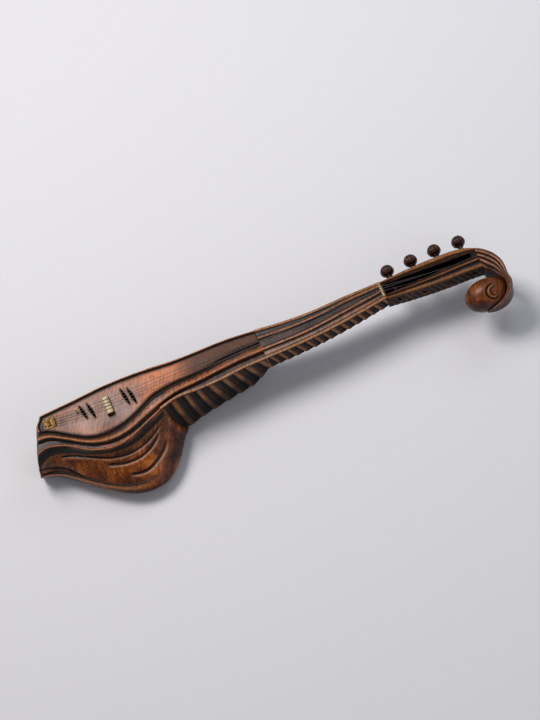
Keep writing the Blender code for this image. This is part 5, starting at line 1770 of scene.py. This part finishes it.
@dataclass
class Fittings:
    """Bridge, nut, tailpiece with its screws, tuning bead and strings."""

    bridge_x: float = 0.025
    bridge_y: float = 0.016
    bridge_height: float = 0.0125
    string_steps: tuple[float, ...] = (1.5, 0.5, -0.5, -1.5)
    bridge_spacing: float = 0.008         # between strings at the bridge, the nut and the tailpiece
    nut_spacing: float = 0.006
    tail_spacing: float = 0.0058
    nut_middle: float = 0.008             # Y of the middle of the strings at the nut
    tail_middle: tuple[float, float] = (-0.110, 0.037)
    tail_size: tuple[float, float] = (0.026, 0.024)
    tail_corner: float = 0.0025
    sheet: float = 0.0015                 # thickness of the brass
    screw_offset: float = 0.004
    screw_bore: float = 0.0020
    bead_radius: float = 0.004
    bead_bore: float = 0.0009
    bead_finish: float = 0.985            # share of its radius left after sanding

    def bridge_foot(self) -> Relief:
        """The wooden foot: two feet, an arch between them and swept ends.

        Returns:
            Its skin.
        """
        seat, shelf = FACE + GAP, FACE + self.bridge_height - 0.003
        rings = []
        for y in np.linspace(-0.023, 0.023, 75):
            arch = 0.004 * float(ease((0.0125 - abs(y)) / 0.006))
            low = seat + arch
            high = shelf - 0.0042 * float(ease((abs(y) - 0.0208) / 0.0026))
            wide = 0.0085 - 0.0009 * float(ease((abs(y) - 0.0215) / 0.002))
            x = np.array([-wide, -wide, -wide + 0.0007, -wide + 0.0014, -0.0066, -0.0062, 0.0062, 0.0066,
                          wide - 0.0014, wide - 0.0007, wide, wide])
            rise = high - low
            z = low + rise * np.array([0.0, 0.20, 0.36, 0.44, 0.90, 1.0, 1.0, 0.90, 0.44, 0.36, 0.20, 0.0])
            rings.append(np.column_stack([self.bridge_x + x, np.full(12, self.bridge_y + y), z]))
        relief = Relief(np.array(rings))
        z = relief.points[..., 2]
        # Painted shade along the foot where it meets the board, and wear and painted highlight along its top.
        relief.mark(stain_and_shade=0.8 * ease((seat + 0.0015 - z) / 0.0015),
                    wear_and_highlight=0.5 * ease((z - shelf + 0.0012) / 0.0012))
        return relief

    def bone_bar(self, middle: tuple[float, float], half: tuple[float, float], low: float, high: float,
                 crown: float, notches: list[float]) -> Relief:
        """A bone bar across the strings, crowned and notched.

        Args:
            middle: its middle in plan.
            half: half its size along and across the strings.
            low: height of its underside.
            high: height of its top.
            crown: how much lower the top is at its edges.
            notches: Y of the string notches.

        Returns:
            Its skin.
        """
        y = np.linspace(-half[1], half[1], 160)
        t = np.linspace(-1, 1, 15)
        rings = []
        for place in y:
            end = float(ease((abs(place) - half[1] + 0.0012) / 0.0012))
            notch = sum(float(hump(np.array(middle[1] + place - n), 0.0005)) for n in notches)
            top = high - crown * np.abs(t) ** 2.4 - 0.0007 * end - 0.00025 * notch
            x = middle[0] + half[0] * t * (1 - 0.04 * end)
            up = np.column_stack([x, np.full(15, middle[1] + place), top])
            down = np.column_stack([x[[-1, 0]], np.full(2, middle[1] + place), np.full(2, low)])
            rings.append(np.concatenate([up, down]))
        return Relief(np.array(rings))

    def tailpiece(self) -> bpy.types.Object:
        """The bent brass plate: soft corners, two screw holes and a comb of string notches.

        Returns:
            The plate.
        """
        (x, y), (length, width) = self.tail_middle, self.tail_size
        back, front = x - length / 2, x + length / 2
        seat, rise = FACE + GAP, FACE + 0.009
        bend = np.linspace(0, math.pi / 2, 6)
        outside, inside = 0.0010, 0.0008
        outer = [(back, seat)]
        outer += [(front - outside * (1 - math.sin(a)), seat + outside * (1 - math.cos(a))) for a in bend]
        outer += [(front, rise)]
        inner = [(front - self.sheet, rise)]
        inner += [(front - self.sheet - inside * (1 - math.cos(a)),
                   seat + self.sheet + inside * (1 - math.sin(a))) for a in bend]
        inner += [(back, seat + self.sheet)]
        section = np.array(outer + inner)
        rings = []
        spacing = self.tail_spacing
        for place in np.linspace(-width / 2, width / 2, 90):
            past = max(0.0, (abs(place) - width / 2) / self.tail_corner + 1)
            corner = self.tail_corner * (1 - math.sqrt(max(0.0, 1 - past ** 2)))
            notch = sum(0.0012 * float(hump(place - step * spacing, 0.0007)) for step in self.string_steps)
            points = np.column_stack([section[:, 0], np.full(len(section), y + place), section[:, 1]])
            points[:, 0] = np.maximum(points[:, 0], back + corner)
            points[:, 2] = np.minimum(points[:, 2], rise - corner - notch)
            rings.append(points)
        obj = Relief(np.array(rings)).build("bent_brass_tailpiece", 40)
        for side in (-self.screw_offset, self.screw_offset):
            bpy.ops.mesh.primitive_cylinder_add(radius=self.screw_bore, depth=0.008, vertices=32,
                                                location=(x - 0.002, y + side, seat))
            cut_away(obj, bpy.context.object)
        return obj

    def screw(self, number: int) -> bpy.types.Object:
        """One slotted round-head screw.

        Args:
            number: 1 or 2, from the bulging side.

        Returns:
            The screw.
        """
        x = self.tail_middle[0] - 0.002
        y = self.tail_middle[1] + (-self.screw_offset, self.screw_offset)[number - 1]
        seat = FACE + 2 * GAP + self.sheet
        arc = np.linspace(0.03, math.pi / 2, 14)
        head = np.column_stack([0.0036 * np.sin(arc), 0.0016 * np.cos(arc)])
        thread = np.linspace(-0.0008, -0.0110, 60)
        shank = np.column_stack([0.00145 + 0.00015 * np.cos(thread * 2 * math.pi / 0.0011), thread])
        profile = np.concatenate([head, [(0.0016, 0.0), (0.0016, -0.0006)], shank,
                                  [(0.0009, -0.0122), (0.0001, -0.013)]])
        turn = np.linspace(0, 2 * math.pi, 40, endpoint=False)
        points = np.stack([x + profile[:, :1] * np.cos(turn), y + profile[:, :1] * np.sin(turn),
                           seat + profile[:, 1:] + 0 * turn], axis=2)
        obj = Relief(points).build(f"brass_screw_{number}", 40)
        bpy.ops.mesh.primitive_cube_add(size=1, location=(x, y, seat + 0.0016))
        slot = bpy.context.object
        slot.scale = (0.009, 0.0009, 0.0016)
        slot.rotation_euler.z = 0.5 + number
        cut_away(obj, slot)
        return obj

    def bead(self) -> Relief:
        """The drilled tuning bead on the first string, with two turned lines.

        Returns:
            Its skin.
        """
        low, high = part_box("tuning_bead")
        middle = np.array((low + high) / 2)
        first = np.array([self.tail_middle[0] + self.tail_size[0] / 2 + GAP,
                          self.tail_middle[1] + self.tail_spacing * self.string_steps[0], FACE + 0.0055])
        along = middle - first
        along /= np.linalg.norm(along)
        side = np.cross(along, (0, 0, 1))
        side /= np.linalg.norm(side)
        other = np.cross(along, side)
        reach = math.sqrt(self.bead_radius ** 2 - self.bead_bore ** 2)
        rim = math.asin(self.bead_bore / self.bead_radius)
        angle = np.linspace(rim, math.pi - rim, 40)
        sanded = self.bead_finish * self.bead_radius
        radius = sanded * np.sin(angle) - 0.00012 * (hump(angle - 1.1, 0.05) + hump(angle - 2.04, 0.05))
        place = np.clip(sanded * np.cos(angle), -reach, reach)
        bore = np.linspace(place[-1], place[0], 6)[1:-1]
        radius = np.concatenate([radius, np.full(4, self.bead_bore)])
        place = np.concatenate([place, bore])
        turn = np.linspace(0, 2 * math.pi, 40)[:, None, None]
        points = middle + along * place[None, :, None] + radius[None, :, None] * (
            np.cos(turn) * side + np.sin(turn) * other)
        return Relief(points)

    def dress(self) -> None:
        """Builds the fittings and finishes the strings."""
        foot = self.bridge_foot().build("arched_bridge_foot", 40)
        dress(foot, Finish.PEG, ("bridge_foot",))
        bridge = self.bone_bar((self.bridge_x, self.bridge_y), (0.0075, 0.021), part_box("bridge_top")[0].z,
                               FACE + self.bridge_height, 0.0010,
                               [self.bridge_y + self.bridge_spacing * step for step in self.string_steps])
        dress(bridge.build("bone_bridge_top", 50), Finish.BONE, ("bridge_top",))
        low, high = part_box("nut")
        middle = (low + high) / 2
        half = (high - low) / 2
        nut = self.bone_bar((middle.x, middle.y), (half.x, half.y), low.z, high.z, 0.0014,
                            [self.nut_middle + self.nut_spacing * step for step in self.string_steps])
        dress(nut.build("bone_nut", 50), Finish.BONE, ("nut",))
        dress(self.tailpiece(), Finish.BRASS, ("tailpiece",))
        for number in (1, 2):
            dress(self.screw(number), Finish.BRASS, (f"tail_screw_{number}",))
        bead = self.bead().build("drilled_tuning_bead", 50, capped=False)
        dress(bead, Finish.BONE, ("tuning_bead",), "bead_body")
        for number in (1, 2, 3, 4):
            redress(f"string_{number}", Finish.STEEL)
        for node in ("brace_front", "brace_rear", "tail_block", "neck_tenon"):
            redress(node, Finish.SAWN)


@dataclass
class Studio:
    """Pale floor, soft lights and the camera."""

    target: tuple[float, float, float] = (0.393, -0.0405, 0.120)
    tilt: float = 25.0            # degrees that the camera leans from straight down
    roll: float = 24.0            # degrees that the neck climbs to the right
    distance: float = 4.455
    lens: float = 135.0

    def axes(self) -> tuple[Vector, Vector, Vector]:
        """Works out how the camera is turned.

        Returns:
            Its right, up and backward directions.
        """
        tilt, roll = math.radians(self.tilt), math.radians(self.roll)
        along = Vector((1, 0, 0))
        across = Vector((0, math.cos(tilt), math.sin(tilt)))
        back = Vector((0, -math.sin(tilt), math.cos(tilt)))
        right = along * math.cos(roll) - across * math.sin(roll)
        up = along * math.sin(roll) + across * math.cos(roll)
        return right, up, back

    def floor(self) -> None:
        """A wide sheet of matt paper under the instrument."""
        bpy.ops.mesh.primitive_plane_add(size=16, location=(0.4, 0, -0.0002))
        floor = bpy.context.object
        floor.name = "paper_floor"
        material, tree, shader = blank_material("matt_pale_paper")
        place = add_node(tree, "ShaderNodeTexCoord").outputs["Object"]
        noise = add_node(tree, "ShaderNodeTexNoise", inputs={
            "Vector": place, "Scale": 700.0, "Detail": 3.0}).outputs["Fac"]
        colour = add_node(tree, "ShaderNodeValToRGB", inputs={"Fac": noise}, stops=[
            (0.3, linear("#d9dce1")), (0.7, linear("#dde0e5"))]).outputs["Color"]
        tree.links.new(colour, shader.inputs["Base Color"])
        shader.inputs["Roughness"].default_value = 0.9
        floor.data.materials.append(material)

    def light(self, name: str, right: float, up: float, back: float, size: float, power: float,
              colour: str) -> None:
        """A square soft box that faces the instrument.

        Args:
            name: its name.
            right: metres to the camera's right of the instrument.
            up: metres up in the camera's view.
            back: metres towards the camera.
            size: metres along its side.
            power: watts.
            colour: sRGB colour of its light.
        """
        right_way, up_way, back_way = self.axes()
        lamp = bpy.data.lights.new(name, "AREA")
        lamp.size = size
        lamp.energy = power
        lamp.color = linear(colour)[:3]
        obj = bpy.data.objects.new(name, lamp)
        bpy.context.scene.collection.objects.link(obj)
        target = Vector(self.target)
        obj.location = target + right_way * right + up_way * up + back_way * back
        obj.rotation_euler = (obj.location - target).to_track_quat("Z", "Y").to_euler()

    def camera(self) -> None:
        """A long lens straight at the instrument's middle."""
        lens = bpy.data.cameras.new("camera")
        lens.lens = self.lens
        lens.sensor_fit = "HORIZONTAL"
        lens.sensor_width = 36.0
        lens.clip_end = 50.0
        camera = bpy.data.objects.new("camera", lens)
        bpy.context.scene.collection.objects.link(camera)
        right, up, back = self.axes()
        turn = Matrix((right, up, back)).transposed().to_4x4()
        camera.matrix_world = Matrix.Translation(Vector(self.target) + back * self.distance) @ turn
        bpy.context.scene.camera = camera

    def dress(self) -> None:
        """Sets floor, lights, surroundings and camera."""
        bpy.context.scene.view_settings.view_transform = "Standard"     # keeps the deep contrast of the stain and painted shade
        self.floor()
        self.light("key_soft_box", -2.3, 2.6, 2.4, 1.8, 146, "#fff8f3")
        self.light("fill_soft_box", 1.9, -0.6, 2.8, 2.4, 18, "#f6f4ff")
        self.light("top_soft_box", 0.6, 2.2, 1.0, 1.4, 10, "#f4f4ff")
        world = bpy.data.worlds.new("studio")
        world.use_nodes = True
        background = world.node_tree.nodes["Background"]
        background.inputs["Color"].default_value = linear("#dddcdf")
        background.inputs["Strength"].default_value = 0.27
        bpy.context.scene.world = world
        self.camera()


def main() -> None:
    """Builds the instrument and its studio in order."""
    logging.basicConfig(level=logging.INFO, format="%(name)s: %(message)s", stream=sys.stdout)
    for assembly in (Bowl(), Soundboard(), Edging(), HeelAndNeck(), Head(), Pegs(), Fittings(), Studio()):
        LOG.info("making %s", type(assembly).__name__)
        assembly.dress()


if __name__ == "__main__":
    main()
